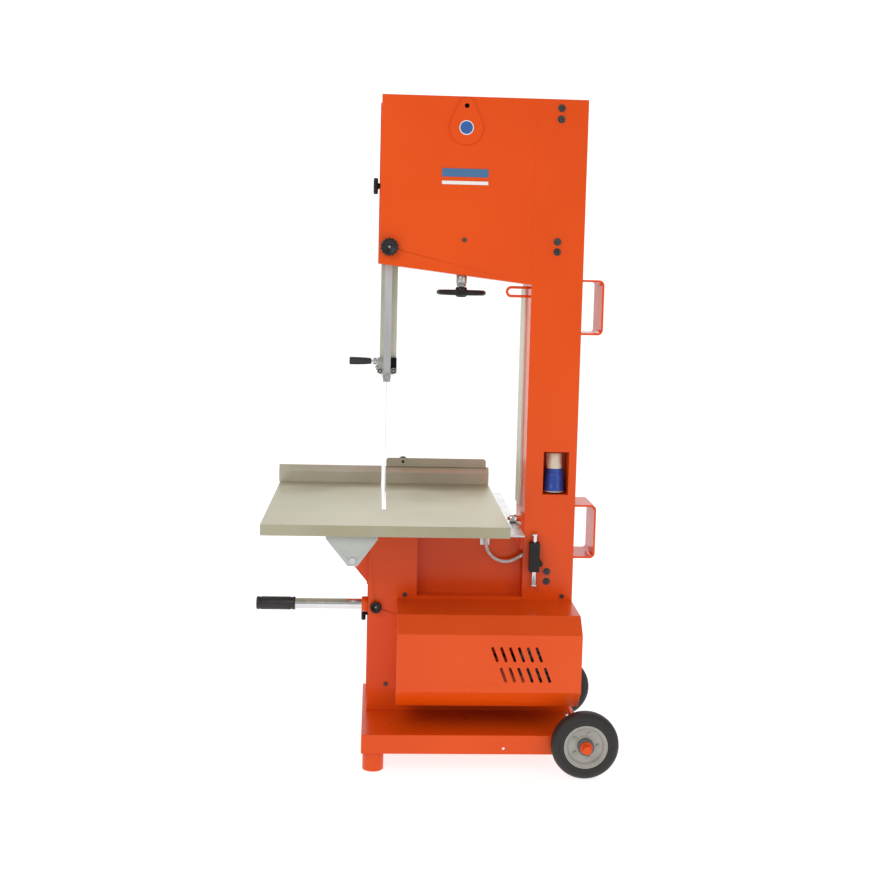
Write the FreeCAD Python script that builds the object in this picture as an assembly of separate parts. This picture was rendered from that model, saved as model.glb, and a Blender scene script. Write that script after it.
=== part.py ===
import FreeCAD, Part
import math
import os

# Masonry band saw on a wheeled base. Millimetres, +Z up.
# Layout frame: X runs along the width, Y from the motor side towards the operator, Z up from the floor.
# Every piece is moved at the end so that the origin is under the middle of the whole machine.

V = FreeCAD.Vector

# --- driving dimensions ---------------------------------------------------------------------------
SHEET = 4.0                      # casing sheet
PLAY = 0.3                       # clearance between pieces that only pass each other
FIT = 0.05                       # radial clearance of a running fit

HOUSING_FRONT = 230.0            # motor-side face of pedestal, column and head
HOUSING_REAR = 450.0             # operator-side face, closed by the doors
OVERALL_TOP = 1956.0
COLUMN_WIDTH = 153.0
RETURN_INSET = 10.75             # from the column's table side to the returning run of the blade
PEDESTAL_LEFT = -8.0
PEDESTAL_TOP = 650.0
HEAD_LEFT = 6.0
HEAD_BOTTOM_LEFT = 1466.0        # underside of the head at its free corner
HEAD_BOTTOM_RIGHT = 1414.0       # underside of the head where it meets the column

BASE_LEFT = -21.0
BASE_FRONT, BASE_REAR = 22.0, 479.0
BASE_BOTTOM, BASE_TOP = 55.0, 112.0
FOOT_RADIUS = 31.0
PAD_HEIGHT = 5.0

TYRE_RADIUS, TYRE_WIDTH = 98.0, 48.0
RIM_RADIUS = 63.0
AXLE_REACH = 13.0                # from the column's outer side to the axle
AXLE_RADIUS = 10.0
HUB_LENGTH = 54.0
WHEEL_GAP = 6.0                  # between a tyre and the side of the base
AXLE_CAP_LENGTH = 24.0
SPACER_RADIUS, WASHER_RADIUS, AXLE_PLATE = 15.0, 18.0, 12.0
RIM_HOLES, RIM_HOLE_RADIUS, RIM_HOLE_REACH = 5, 5.0, 37.0

RECESS_LEFT, RECESS_FLOOR, RECESS_DEPTH = 138.0, 469.0, 45.0     # step in the pedestal's front
LIFT_X, LIFT_DROP, LIFT_HOLE = 253.0, 27.0, 7.0                  # lifting eye
LABEL_DROP, LABEL_RADIUS = 63.0, 21.0                            # round label below the eye
STRIP_HALF, STRIP_THICK = 68.0, 1.5
COLUMN_SCREW_HEIGHTS = (1930, 1898, 1542, 1512, 549, 519)

BLADE_X, BLADE_Y = 35.0, 334.0   # cutting run: mid-thickness and mid-width
BLADE_WIDTH, BLADE_THICK = 27.0, 0.9
BAND_RADIUS, BAND_TYRE = 216.5, 4.0
BAND_WIDTH = 28.0
BAND_HUB_LENGTH = 40.0
BAND_HOLES, BAND_HOLE_RADIUS, BAND_HOLE_REACH = 5, 48.0, 115.0
SHAFT_RADIUS = 15.0
LOWER_WHEEL_Z, UPPER_WHEEL_Z = 370.0, 1700.0

COVER_LEFT = 78.0
COVER_FRONT, COVER_TOP, COVER_SHEET = 4.0, 460.0, 3.0
MOTOR_INSET, MOTOR_Z, MOTOR_RADIUS = 42.0, 330.0, 75.0
MOTOR_FRONT, MOTOR_REAR = 45.0, 165.0
MOTOR_SHAFT, MOTOR_FINS, BRACKET_HALF = 12.0, 24, 70.0
PULLEY_FRONT, PULLEY_REAR = 188.0, 212.0
DRIVEN_GROOVE, MOTOR_GROOVE = 76.0, 26.0
BELT_THICK, BELT_WIDTH = 8.0, 12.0
GROOVE_DEPTH = 9.0
PULLEY_HOLES, PULLEY_HOLE_RADIUS, PULLEY_HOLE_REACH = 5, 15.0, 46.0
CARRIAGE_HALF, CARRIAGE_HEIGHT, CARRIAGE_DEPTH = 50.0, 80.0, 62.0
SCREW_RADIUS = 8.0
SPRINGS, SPRING_PITCH = 9, 5.0
HANDWHEEL_Z, HANDWHEEL_RADIUS, HANDWHEEL_RING, SPOKES = 1386.0, 66.0, 8.0, 5

TABLE_LEFT, TABLE_GAP = -319.0, 62.0     # the gap is between the table and the column
TABLE_FRONT, TABLE_REAR = 40.0, 800.0
TABLE_TOP, TABLE_PLATE, TABLE_LIP = 720.0, 4.0, 32.0
SLOT_WIDTH, SLOT_START = 13.0, 298.0
FENCE_HEIGHT, FENCE_DEPTH, FENCE_SHEET, REBATE = 57.0, 21.0, 4.0, 1.0
STOP_LEFT, STOP_RISE = 44.0, 27.0

SLIDE_X, SLIDE_Z, SLIDE_RADIUS = -55.0, 613.0, 10.0
BEARING_SIZE = 44.0
RAIL_Z, RAIL_THICK, RAIL_REACH = 694.0, 5.0, 44.0
ROLLER_RADIUS, ROLLER_WIDTH = 12.0, 20.0
ROLLER_Y = 256.0

POST_WIDTH, POST_DEPTH = 22.0, 24.0
POST_REAR = 309.0
POST_BOTTOM, POST_TOP = 1112.0, 1865.0
SHIELD_HALF, SHIELD_SHEET, SHIELD_REAR = 28.0, 3.0, 385.0
THRUST_RADIUS, SIDE_RADIUS, ROLLER_PIN, GUIDE_NUT = 13.0, 15.0, 4.0, 9.0
LEVER_RADIUS, LEVER_GRIP, LEVER_GRIP_RADIUS = 5.0, 66.0, 11.5

HANDLE_Y, HANDLE_Z, HANDLE_RADIUS = 258.0, 435.0, 16.0
HANDLE_OUTER, GRIP_LENGTH, GRIP_RADIUS = -346.0, 117.0, 20.0
SOCKET_LENGTH, SOCKET_RADIUS = 20.0, 23.0

HOOK_REACH, HOOK_SHEET, HOOK_FRONT, HOOK_WIDTH = 66.0, 6.0, 235.0, 140.0
HOOK_HEIGHT, UPPER_HOOK_Z, LOWER_HOOK_Z = 164.0, 1268.0, 590.0

POCKET_INSET, POCKET_WIDTH = 53.0, 77.0
POCKET_BOTTOM, POCKET_TOP, POCKET_DEPTH = 785.0, 915.0, 80.0
INLET_RADIUS = 32.5

LOCK_RADIUS = 7.0
SWITCH_Z, SWITCH_DEPTH, SWITCH_HALF, SWITCH_HEIGHT = 1240.0, 62.0, 45.0, 140.0
BUTTON_RADIUS, BUTTON_TRAVEL, BUTTON_SPREAD, BUTTON_WELL = 14.0, 4.0, 28.0, 12.0

HOSE_RADIUS = 5.0
HOSE_POINTS = [
    (344.0, 252.0, 648.0),
    (346.0, 254.0, 615.0),
    (364.0, 256.0, 587.0),
    (393.5, 255.0, 572.0),
    (426.5, 253.0, 573.5),
    (451.5, 252.0, 590.0),
]

HINGE_RADIUS, HINGE_PIN = 5.0, 2.5
DOOR_SHEET = 3.0
KNOB_STUD = 5.0
LATCH_KNOB, CLAMP_KNOB, SMALL_KNOB = 25.0, 27.0, 18.0            # radii of the hand knobs

# --- places worked out from the sizes above -------------------------------------------------------
AXLE_Z = TYRE_RADIUS
NEAR_WHEEL_Y = BASE_FRONT - WHEEL_GAP - TYRE_WIDTH / 2
FAR_WHEEL_Y = BASE_REAR + WHEEL_GAP + TYRE_WIDTH / 2
BAND_X = BLADE_X + BLADE_THICK / 2 + PLAY + BAND_RADIUS
COLUMN_LEFT = BAND_X + BAND_RADIUS - RETURN_INSET
COLUMN_RIGHT = COLUMN_LEFT + COLUMN_WIDTH
BASE_RIGHT = COLUMN_RIGHT - 11
COVER_RIGHT = COLUMN_RIGHT - 1
AXLE_X = COLUMN_RIGHT + AXLE_REACH
MOTOR_X = COLUMN_LEFT + MOTOR_INSET
TABLE_RIGHT = COLUMN_LEFT - TABLE_GAP
STOP_RIGHT = TABLE_RIGHT - 6
POCKET_LEFT = COLUMN_LEFT + POCKET_INSET
POCKET_RIGHT = POCKET_LEFT + POCKET_WIDTH
SMALL_SCREW_PLACES = ((102, 473), (COVER_RIGHT - 31, 473), (49, 195), (255, 1541))
SCREW_Y = HOUSING_FRONT + 38.0
HINGE_X = COLUMN_LEFT + 2.0
HINGE_Y = HOUSING_REAR + 7.0
LATCH_Y = HOUSING_REAR - 30.0
LOWER_LATCH_Z, UPPER_LATCH_Z = LOWER_WHEEL_Z - 5, UPPER_WHEEL_Z + 4
HANDLE_KNOB_X = PEDESTAL_LEFT + 23
CLAMP_Z = HEAD_BOTTOM_LEFT + 49
LIFT_Z = OVERALL_TOP - LIFT_DROP
CARRIAGE_REAR = HOUSING_FRONT + CARRIAGE_DEPTH
PULLEY_MIDDLE = (PULLEY_FRONT + PULLEY_REAR) / 2
POST_FRONT = POST_REAR - POST_DEPTH
POST_LEFT = BLADE_X - POST_WIDTH / 2
GUIDE_TOP = POST_BOTTOM + 73
THRUST_Z, SIDE_Z = POST_BOTTOM + 15, POST_BOTTOM + 34
SIDE_REACH = SIDE_RADIUS + BLADE_THICK / 2 + PLAY
LEVER_TIP = BLADE_X - SHIELD_HALF - 1
LEVER_Y, LEVER_Z = POST_FRONT + 9, GUIDE_TOP - 11
INLET_X = (POCKET_LEFT + POCKET_RIGHT) / 2
INLET_Y = HOUSING_FRONT + POCKET_DEPTH - INLET_RADIUS - 6
LOCK_X, LOCK_Y = COLUMN_LEFT + 32, HOUSING_FRONT - 14
SWITCH_X = (COLUMN_LEFT + COLUMN_RIGHT) / 2
UNDER_TABLE = TABLE_TOP - TABLE_PLATE
FENCE_FRONT = TABLE_REAR - 10.0
FENCE_TOP = TABLE_TOP + FENCE_HEIGHT
STOP_KNOB_X, STOP_KNOB_Z = STOP_LEFT + 58, FENCE_TOP + 14
EDGE_LEFT = HANDLE_OUTER
EDGE_RIGHT = AXLE_X + TYRE_RADIUS
EDGE_FRONT = NEAR_WHEEL_Y - HUB_LENGTH / 2 - AXLE_CAP_LENGTH
EDGE_REAR = FENCE_FRONT + FENCE_DEPTH + 22.0          # back of the stop bar's knob
CENTRE = V((EDGE_LEFT + EDGE_RIGHT) / 2, (EDGE_FRONT + EDGE_REAR) / 2, 0)

AXES = {"x": V(1, 0, 0), "y": V(0, 1, 0), "z": V(0, 0, 1)}


# --- shared shapes --------------------------------------------------------------------------------
def box(x0, x1, y0, y1, z0, z1):
    return Part.makeBox(x1 - x0, y1 - y0, z1 - z0, V(x0, y0, z0))


def rod(axis, radius, start, end, a, b):
    """Cylinder along an axis from start to end; a and b are its other two coordinates in XYZ order."""
    origin = {"x": V(start, a, b), "y": V(a, start, b), "z": V(a, b, start)}[axis]
    return Part.makeCylinder(radius, end - start, origin, AXES[axis])


def pipe(axis, radius, bore, start, end, a, b):
    return rod(axis, radius, start, end, a, b).cut(rod(axis, bore, start - 1, end + 1, a, b))


def prism_y(points, y0, y1):
    """Outline in X and Z, drawn out along Y."""
    corners = [V(x, y0, z) for x, z in points]
    return Part.Face(Part.makePolygon(corners + corners[:1])).extrude(V(0, y1 - y0, 0))


def prism_x(points, x0, x1):
    """Outline in Y and Z, drawn out along X."""
    corners = [V(x0, y, z) for y, z in points]
    return Part.Face(Part.makePolygon(corners + corners[:1])).extrude(V(x1 - x0, 0, 0))


def fuse(first, *others):
    return first.multiFuse(list(others)).removeSplitter()


def knob(axis, radius, start, end, a, b, lobes=8):
    """Hand knob: a disc with scallops round its edge."""
    body = rod(axis, radius, start, end, a, b)
    for index in range(lobes):
        turn = 2 * math.pi * (index + 0.5) / lobes
        reach = radius * 1.12
        da, db = reach * math.cos(turn), reach * math.sin(turn)
        body = body.cut(rod(axis, radius * 0.24, start - 1, end + 1, a + da, b + db))
    return body


def loop_wire(radius_a, radius_b, centre_a, centre_b, y):
    """Closed outline round two circles in the XZ plane: two arcs and their outer tangents."""
    (ax, az), (bx, bz) = centre_a, centre_b
    span = math.hypot(bx - ax, bz - az)
    heading = math.atan2(bz - az, bx - ax)
    lean = math.acos((radius_a - radius_b) / span)

    def at(cx, cz, radius, angle):
        return V(cx + radius * math.cos(angle), y, cz + radius * math.sin(angle))

    first = at(ax, az, radius_a, heading + lean)
    second = at(ax, az, radius_a, heading - lean)
    third = at(bx, bz, radius_b, heading - lean)
    fourth = at(bx, bz, radius_b, heading + lean)
    edges = [
        Part.Arc(first, at(ax, az, radius_a, heading + math.pi), second).toShape(),
        Part.makeLine(second, third),
        Part.Arc(third, at(bx, bz, radius_b, heading), fourth).toShape(),
        Part.makeLine(fourth, first),
    ]
    return Part.Wire(edges)


def band_loop(radius_a, radius_b, centre_a, centre_b, thick, y0, y1):
    """A belt or blade that runs round two wheels."""
    outer = Part.Face(loop_wire(radius_a + thick, radius_b + thick, centre_a, centre_b, y0))
    inner = Part.Face(loop_wire(radius_a, radius_b, centre_a, centre_b, y0))
    return outer.extrude(V(0, y1 - y0, 0)).cut(inner.extrude(V(0, y1 - y0, 0)))


def rounded_path(points, radius_share=0.45):
    """Straight runs joined by tangent arcs, each arc as large as its two runs allow."""
    corners = [V(*point) for point in points]
    edges, radii = [], []
    start = corners[0]
    for before, corner, after in zip(corners, corners[1:], corners[2:]):
        incoming = (corner - before).normalize()
        outgoing = (after - corner).normalize()
        turn = incoming.getAngle(outgoing)
        shorter = min((corner - before).Length, (after - corner).Length)
        reach = radius_share * shorter
        radius = reach / math.tan(turn / 2)
        radii.append(radius)
        entry = corner - incoming * reach
        leave = corner + outgoing * reach
        inward = (outgoing - incoming).normalize()
        middle = corner + inward * (radius / math.cos(turn / 2) - radius)
        edges.append(Part.makeLine(start, entry))
        edges.append(Part.Arc(entry, middle, leave).toShape())
        start = leave
    edges.append(Part.makeLine(start, corners[-1]))
    return Part.Wire(edges), radii


def tube_along(path, radius, direction):
    start = path.Edges[0].Vertexes[0].Point
    profile = Part.Wire([Part.makeCircle(radius, start, direction)])
    return path.makePipeShell([profile], True, True)


def head_underside(x):
    slope = (HEAD_BOTTOM_RIGHT - HEAD_BOTTOM_LEFT) / (COLUMN_LEFT - HEAD_LEFT)
    return HEAD_BOTTOM_LEFT + slope * (x - HEAD_LEFT)


# --- wheeled base ---------------------------------------------------------------------------------
def base_frame():
    """Folded tray, open underneath, with a drain hole in its front skirt."""
    tray = box(BASE_LEFT, BASE_RIGHT, BASE_FRONT, BASE_REAR, BASE_BOTTOM, BASE_TOP)
    hollow = box(BASE_LEFT + SHEET, BASE_RIGHT - SHEET, BASE_FRONT + SHEET, BASE_REAR - SHEET,
                 BASE_BOTTOM - 1, BASE_TOP - SHEET)
    drain = rod("y", 4, BASE_FRONT - 1, BASE_FRONT + SHEET + 1, 392, 72)
    return [tray.cut(hollow).cut(drain)]


def foot_places():
    x = BASE_LEFT + SHEET + FOOT_RADIUS + PLAY
    near = BASE_FRONT + SHEET + FOOT_RADIUS + PLAY
    far = BASE_REAR - SHEET - FOOT_RADIUS - PLAY
    return [(x, near), (x, far)]


def feet():
    return [pipe("z", FOOT_RADIUS, FOOT_RADIUS - 4, PAD_HEIGHT, BASE_TOP - SHEET, x, y)
            for x, y in foot_places()]


def foot_pads():
    return [rod("z", FOOT_RADIUS, 0, PAD_HEIGHT, x, y) for x, y in foot_places()]


def axle_bracket_places():
    return [BASE_FRONT + 40, BASE_REAR - 52]


def axle_brackets():
    """Two plates welded to the end of the base; the axle goes through them."""
    plates = []
    for y in axle_bracket_places():
        far, right = y + AXLE_PLATE, AXLE_X + 26
        low_part = box(BASE_RIGHT, right, y, far, BASE_BOTTOM + 8, BASE_TOP)
        top_part = box(COLUMN_RIGHT + 1, right, y, far, BASE_BOTTOM + 8, AXLE_Z + 24)
        plate = fuse(low_part, top_part)
        plates.append(plate.cut(rod("y", AXLE_RADIUS, y - 1, far + 1, AXLE_X, AXLE_Z)))
    return plates


def axle():
    far_end = FAR_WHEEL_Y + HUB_LENGTH / 2 + AXLE_CAP_LENGTH - 6
    return [rod("y", AXLE_RADIUS, EDGE_FRONT + 6, far_end, AXLE_X, AXLE_Z)]


def axle_caps():
    """Washer and pinned cap outside each wheel, and a spacer tube between wheel and bracket."""
    near_out = NEAR_WHEEL_Y - HUB_LENGTH / 2 - PLAY
    far_out = FAR_WHEEL_Y + HUB_LENGTH / 2 + PLAY
    near_in = NEAR_WHEEL_Y + HUB_LENGTH / 2 + PLAY
    far_in = FAR_WHEEL_Y - HUB_LENGTH / 2 - PLAY
    first, last = axle_bracket_places()
    core = axle()[0]
    pieces = [
        fuse(rod("y", WASHER_RADIUS, near_out - 3, near_out, AXLE_X, AXLE_Z),
             rod("y", AXLE_RADIUS + 2, EDGE_FRONT, near_out, AXLE_X, AXLE_Z)),
        fuse(rod("y", WASHER_RADIUS, far_out, far_out + 3, AXLE_X, AXLE_Z),
             rod("y", AXLE_RADIUS + 2, far_out, far_out - PLAY + AXLE_CAP_LENGTH, AXLE_X, AXLE_Z)),
        rod("y", SPACER_RADIUS, near_in, first, AXLE_X, AXLE_Z),
        rod("y", SPACER_RADIUS, last + AXLE_PLATE, far_in, AXLE_X, AXLE_Z),
    ]
    return [piece.cut(core) for piece in pieces]


def road_tyre(y):
    tyre = pipe("y", TYRE_RADIUS, RIM_RADIUS, y - TYRE_WIDTH / 2, y + TYRE_WIDTH / 2, AXLE_X, AXLE_Z)
    shoulders = [edge for edge in tyre.Edges
                 if isinstance(edge.Curve, Part.Circle) and edge.Curve.Radius > TYRE_RADIUS - 1]
    return [tyre.makeFillet(TYRE_WIDTH * 0.3, shoulders)]


def road_rim(y):
    """Pressed disc with five holes, a barrel under the tyre and a long hub."""
    barrel = pipe("y", RIM_RADIUS, RIM_RADIUS - 5, y - 21, y + 21, AXLE_X, AXLE_Z)
    disc = rod("y", RIM_RADIUS - 4, y - 12, y - 6, AXLE_X, AXLE_Z)
    hub = rod("y", 24, y - HUB_LENGTH / 2, y + HUB_LENGTH / 2, AXLE_X, AXLE_Z)
    rim = fuse(barrel, disc, hub)
    for index in range(RIM_HOLES):
        turn = 2 * math.pi * index / RIM_HOLES + 0.3
        hole_x = AXLE_X + RIM_HOLE_REACH * math.cos(turn)
        hole_z = AXLE_Z + RIM_HOLE_REACH * math.sin(turn)
        rim = rim.cut(rod("y", RIM_HOLE_RADIUS, y - 13, y - 5, hole_x, hole_z))
    return [rim.cut(rod("y", AXLE_RADIUS + FIT, y - HUB_LENGTH, y + HUB_LENGTH, AXLE_X, AXLE_Z))]


# --- casings --------------------------------------------------------------------------------------
def pedestal_housing():
    """Box round the lower wheel: open to the column, and to the operator behind its door."""
    left, floor, back = RECESS_LEFT, RECESS_FLOOR, HOUSING_FRONT + RECESS_DEPTH
    shell = box(PEDESTAL_LEFT, COLUMN_LEFT, HOUSING_FRONT, HOUSING_REAR, BASE_TOP, PEDESTAL_TOP)
    inside = box(PEDESTAL_LEFT + SHEET, COLUMN_LEFT + 1, HOUSING_FRONT + SHEET, HOUSING_REAR + 1,
                 BASE_TOP + SHEET, PEDESTAL_TOP - SHEET)
    step = box(left - SHEET, COLUMN_LEFT, HOUSING_FRONT, back + SHEET, floor - SHEET, PEDESTAL_TOP)
    gap = box(left, COLUMN_LEFT + 1, HOUSING_FRONT - 1, back, floor, PEDESTAL_TOP + 1)
    shell = fuse(shell.cut(inside), step).cut(gap)
    blade_slot = box(BLADE_X - 15, BLADE_X + 15, BLADE_Y - 20, BLADE_Y + 20,
                     PEDESTAL_TOP - SHEET - 1, PEDESTAL_TOP + 1)
    shaft_hole = rod("y", SHAFT_RADIUS + 5, HOUSING_FRONT - 1, HOUSING_FRONT + SHEET + 1,
                     BAND_X, LOWER_WHEEL_Z)
    handle_hole = rod("x", HANDLE_RADIUS + FIT, PEDESTAL_LEFT - 1, PEDESTAL_LEFT + SHEET + 1,
                      HANDLE_Y, HANDLE_Z)
    clamp_hole = rod("y", KNOB_STUD + FIT, HOUSING_FRONT - 1, HOUSING_FRONT + SHEET + 1,
                     HANDLE_KNOB_X, HANDLE_Z)
    latch_hole = rod("x", KNOB_STUD + FIT, PEDESTAL_LEFT - 1, PEDESTAL_LEFT + SHEET + 1,
                     LATCH_Y, LOWER_LATCH_Z)
    for opening in (blade_slot, shaft_hole, handle_hole, clamp_hole, latch_hole):
        shell = shell.cut(opening)
    return [shell]


def column():
    """Closed box section; the band wheels reach into it, and the power inlet sits in a pocket."""
    shell = box(COLUMN_LEFT, COLUMN_RIGHT, HOUSING_FRONT, HOUSING_REAR, BASE_TOP, OVERALL_TOP)
    inside = box(COLUMN_LEFT + SHEET, COLUMN_RIGHT - SHEET, HOUSING_FRONT + SHEET, HOUSING_REAR - SHEET,
                 BASE_TOP + SHEET, OVERALL_TOP - SHEET)
    back = HOUSING_FRONT + POCKET_DEPTH
    pocket = box(POCKET_LEFT - SHEET, POCKET_RIGHT + SHEET, HOUSING_FRONT, back + SHEET,
                 POCKET_BOTTOM - SHEET, POCKET_TOP + SHEET)
    gap = box(POCKET_LEFT, POCKET_RIGHT, HOUSING_FRONT - 1, back, POCKET_BOTTOM, POCKET_TOP)
    shell = fuse(shell.cut(inside), pocket).cut(gap)
    door_side = HOUSING_REAR - SHEET
    for low, high in ((BASE_TOP + 28, PEDESTAL_TOP - 10), (UPPER_WHEEL_Z - 235, OVERALL_TOP - 20)):
        opening = box(COLUMN_LEFT - 1, COLUMN_LEFT + SHEET + 1, HOUSING_FRONT + RECESS_DEPTH + 25,
                      door_side, low, high)
        shell = shell.cut(opening)
    return [shell]


def head_outline(inset):
    left, right = HEAD_LEFT + inset, COLUMN_LEFT
    rise = inset * 1.01
    return [(left, head_underside(left) + rise), (right, head_underside(right) + rise),
            (right, OVERALL_TOP - inset), (left, OVERALL_TOP - inset)]


def head_casing():
    """Box round the upper wheel with a sloping underside, closed by its door at the operator's side."""
    shell = prism_y(head_outline(0), HOUSING_FRONT, HOUSING_REAR)
    shell = shell.cut(prism_y(head_outline(SHEET), HOUSING_FRONT + SHEET, HOUSING_REAR + 1))
    low, high = HEAD_BOTTOM_RIGHT, HEAD_BOTTOM_LEFT + 10
    post_slot = box(HEAD_LEFT + SHEET + 0.4, BLADE_X + SHIELD_HALF + 3, POST_REAR - POST_DEPTH - 3,
                    SHIELD_REAR + 3, low, high)
    screw_hole = rod("z", 9, low, high, BAND_X, SCREW_Y)
    clamp_hole = rod("y", KNOB_STUD + FIT, HOUSING_FRONT - 1, HOUSING_FRONT + SHEET + 1,
                     BLADE_X, CLAMP_Z)
    latch_hole = rod("x", KNOB_STUD + FIT, HEAD_LEFT - 1, HEAD_LEFT + SHEET + 1, LATCH_Y, UPPER_LATCH_Z)
    lifting_hole = rod("y", LIFT_HOLE, HOUSING_FRONT - 1, HOUSING_FRONT + SHEET + 1, LIFT_X, LIFT_Z)
    for opening in (post_slot, screw_hole, clamp_hole, latch_hole, lifting_hole):
        shell = shell.cut(opening)
    return [shell]


def lifting_plate():
    """Drop-shaped reinforcing plate with the lifting eye."""
    low = LIFT_Z - LABEL_DROP
    face = Part.Face(loop_wire(49, 23, (LIFT_X, low), (LIFT_X, LIFT_Z), HOUSING_FRONT - 5))
    plate = face.extrude(V(0, 5, 0))
    return [plate.cut(rod("y", LIFT_HOLE, HOUSING_FRONT - 6, HOUSING_FRONT + 1, LIFT_X, LIFT_Z))]


def name_plates():
    """Plain plates: a round disc on the lifting plate and two blank strips on the head."""
    disc = rod("y", LABEL_RADIUS, HOUSING_FRONT - 5 - STRIP_THICK, HOUSING_FRONT - 5, LIFT_X,
               LIFT_Z - LABEL_DROP)
    left, right, face = LIFT_X - STRIP_HALF, LIFT_X + STRIP_HALF, HOUSING_FRONT - STRIP_THICK
    wide = box(left, right, face, HOUSING_FRONT, UPPER_WHEEL_Z + 24, UPPER_WHEEL_Z + 48)
    thin = box(left, right, face, HOUSING_FRONT, UPPER_WHEEL_Z + 2, UPPER_WHEEL_Z + 12)
    return [disc, wide, thin]


def column_screws():
    """Countersunk-washer socket screws that join head, column and pedestal."""
    x = COLUMN_LEFT + 73
    screws = []
    for z in COLUMN_SCREW_HEIGHTS:
        head = fuse(rod("y", 11, HOUSING_FRONT - 2, HOUSING_FRONT, x, z),
                    rod("y", 7.5, HOUSING_FRONT - 9, HOUSING_FRONT, x, z))
        screws.append(head.cut(rod("y", 3.5, HOUSING_FRONT - 10, HOUSING_FRONT - 5, x, z)))
    return screws


def casing_screws():
    """Small screws: three round the motor cover, and the cable eyelet below the upper wheel."""
    return [rod("y", 6.5, HOUSING_FRONT - 4, HOUSING_FRONT, x, z) for x, z in SMALL_SCREW_PLACES]


def return_guard():
    """Pale strip on the table side of the column, beside the returning blade."""
    return [box(COLUMN_LEFT - 5, COLUMN_LEFT, HOUSING_REAR - 112, HOUSING_REAR - 4,
                TABLE_TOP + 10, HEAD_BOTTOM_RIGHT - 12)]


def door(outline, left, flange_low, flange_high, latch_z, hinge_heights):
    """Flat sheet with one folded edge outside the casing; the latch knob's stud enters its open slot."""
    y0 = HOUSING_REAR + 0.6
    sheet = prism_y(outline, y0, y0 + DOOR_SHEET)
    flange = box(left - PLAY - DOOR_SHEET, left - PLAY, LATCH_Y - 20, y0 + DOOR_SHEET,
                 flange_low, flange_high)
    slot = box(left - 9, left + 1, LATCH_Y - 21, LATCH_Y + KNOB_STUD + 1,
               latch_z - KNOB_STUD - 1, latch_z + KNOB_STUD + 1)
    panel = fuse(sheet, flange).cut(slot)
    pieces = [panel]
    for z in hinge_heights:
        leaf = box(HINGE_X - 36, HINGE_X, y0 + DOOR_SHEET, y0 + DOOR_SHEET + 3, z, z + 40)
        knuckle = fuse(rod("z", HINGE_RADIUS, z, z + 40, HINGE_X, HINGE_Y), leaf)
        pieces.append(knuckle.cut(rod("z", HINGE_PIN + FIT, z - 1, z + 41, HINGE_X, HINGE_Y)))
    return pieces


def door_hinge_heights():
    return [(BASE_TOP + 80, PEDESTAL_TOP - 130), (HEAD_BOTTOM_RIGHT + 90, OVERALL_TOP - 130)]


def lower_door():
    left, right = PEDESTAL_LEFT - PLAY - DOOR_SHEET, HINGE_X - HINGE_RADIUS - 3
    low, high = BASE_TOP + 2, PEDESTAL_TOP - 1
    outline = [(left, low), (right, low), (right, high), (left, high)]
    return door(outline, PEDESTAL_LEFT, low, high, LOWER_LATCH_Z, door_hinge_heights()[0])


def upper_door():
    left, right = HEAD_LEFT - PLAY - DOOR_SHEET, HINGE_X - HINGE_RADIUS - 3
    outline = [(left, head_underside(left) + 1), (right, head_underside(right) + 1),
               (right, OVERALL_TOP - 2), (left, OVERALL_TOP - 2)]
    return door(outline, HEAD_LEFT, HEAD_BOTTOM_LEFT + 3, OVERALL_TOP - 2, UPPER_LATCH_Z,
                door_hinge_heights()[1])


def door_hinges():
    """The halves welded to the column, each with the pin that carries the door's knuckle."""
    halves = []
    for z in door_hinge_heights()[0] + door_hinge_heights()[1]:
        leaf = box(HINGE_X, HINGE_X + 24, HOUSING_REAR, HOUSING_REAR + 3, z - 40, z - PLAY)
        knuckle = rod("z", HINGE_RADIUS, z - 40, z - PLAY, HINGE_X, HINGE_Y)
        bridge = box(HINGE_X, HINGE_X + HINGE_RADIUS, HOUSING_REAR, HINGE_Y, z - 40, z - PLAY)
        pin = rod("z", HINGE_PIN, z - 40, z + 38, HINGE_X, HINGE_Y)
        halves.append(fuse(leaf, knuckle, bridge, pin))
    return halves


def latch_knob(left, z):
    """Knob on the side of a casing that clamps the folded edge of the door."""
    face = left - 2 * PLAY - DOOR_SHEET
    handle = knob("x", LATCH_KNOB, face - 18, face - 4, LATCH_Y, z)
    collar = rod("x", 11, face - 4, face, LATCH_Y, z)
    stud = rod("x", KNOB_STUD, face, left + 12, LATCH_Y, z)
    return [fuse(handle, collar, stud)]


# --- motor drive ----------------------------------------------------------------------------------
def cover_profile(inset):
    """Side view of the motor cover, open underneath: points in Y and Z."""
    front, top = COVER_FRONT + inset, COVER_TOP - inset
    lean = inset * 0.45
    return [(HOUSING_FRONT, top), (54 + lean, top), (front, 415 - lean), (front, 246 + lean),
            (60 + lean, 187 + inset), (60 + lean, 186), (HOUSING_FRONT, 186)]


def motor_cover():
    """Folded sheet cover with two rows of slanting slots in its front."""
    y_low = COVER_FRONT - 1
    outer = prism_x([(HOUSING_FRONT, COVER_TOP), (54, COVER_TOP), (COVER_FRONT, 415),
                     (COVER_FRONT, 246), (60, 187), (HOUSING_FRONT, 187)], COVER_LEFT, COVER_RIGHT)
    inner = prism_x(cover_profile(COVER_SHEET), COVER_LEFT + COVER_SHEET, COVER_RIGHT - COVER_SHEET)
    shell = outer.cut(inner)
    pitch, slant, width = 25.5, 14.0, 8.0
    for first, high, low in ((351, 376, 340), (377, 316, 280)):
        for index in range(6):
            x = first + pitch * index
            face = Part.Face(loop_wire(width / 2, width / 2, (x, high), (x + slant, low), y_low))
            shell = shell.cut(face.extrude(V(0, COVER_SHEET + 2, 0)))
    return [shell]


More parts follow.
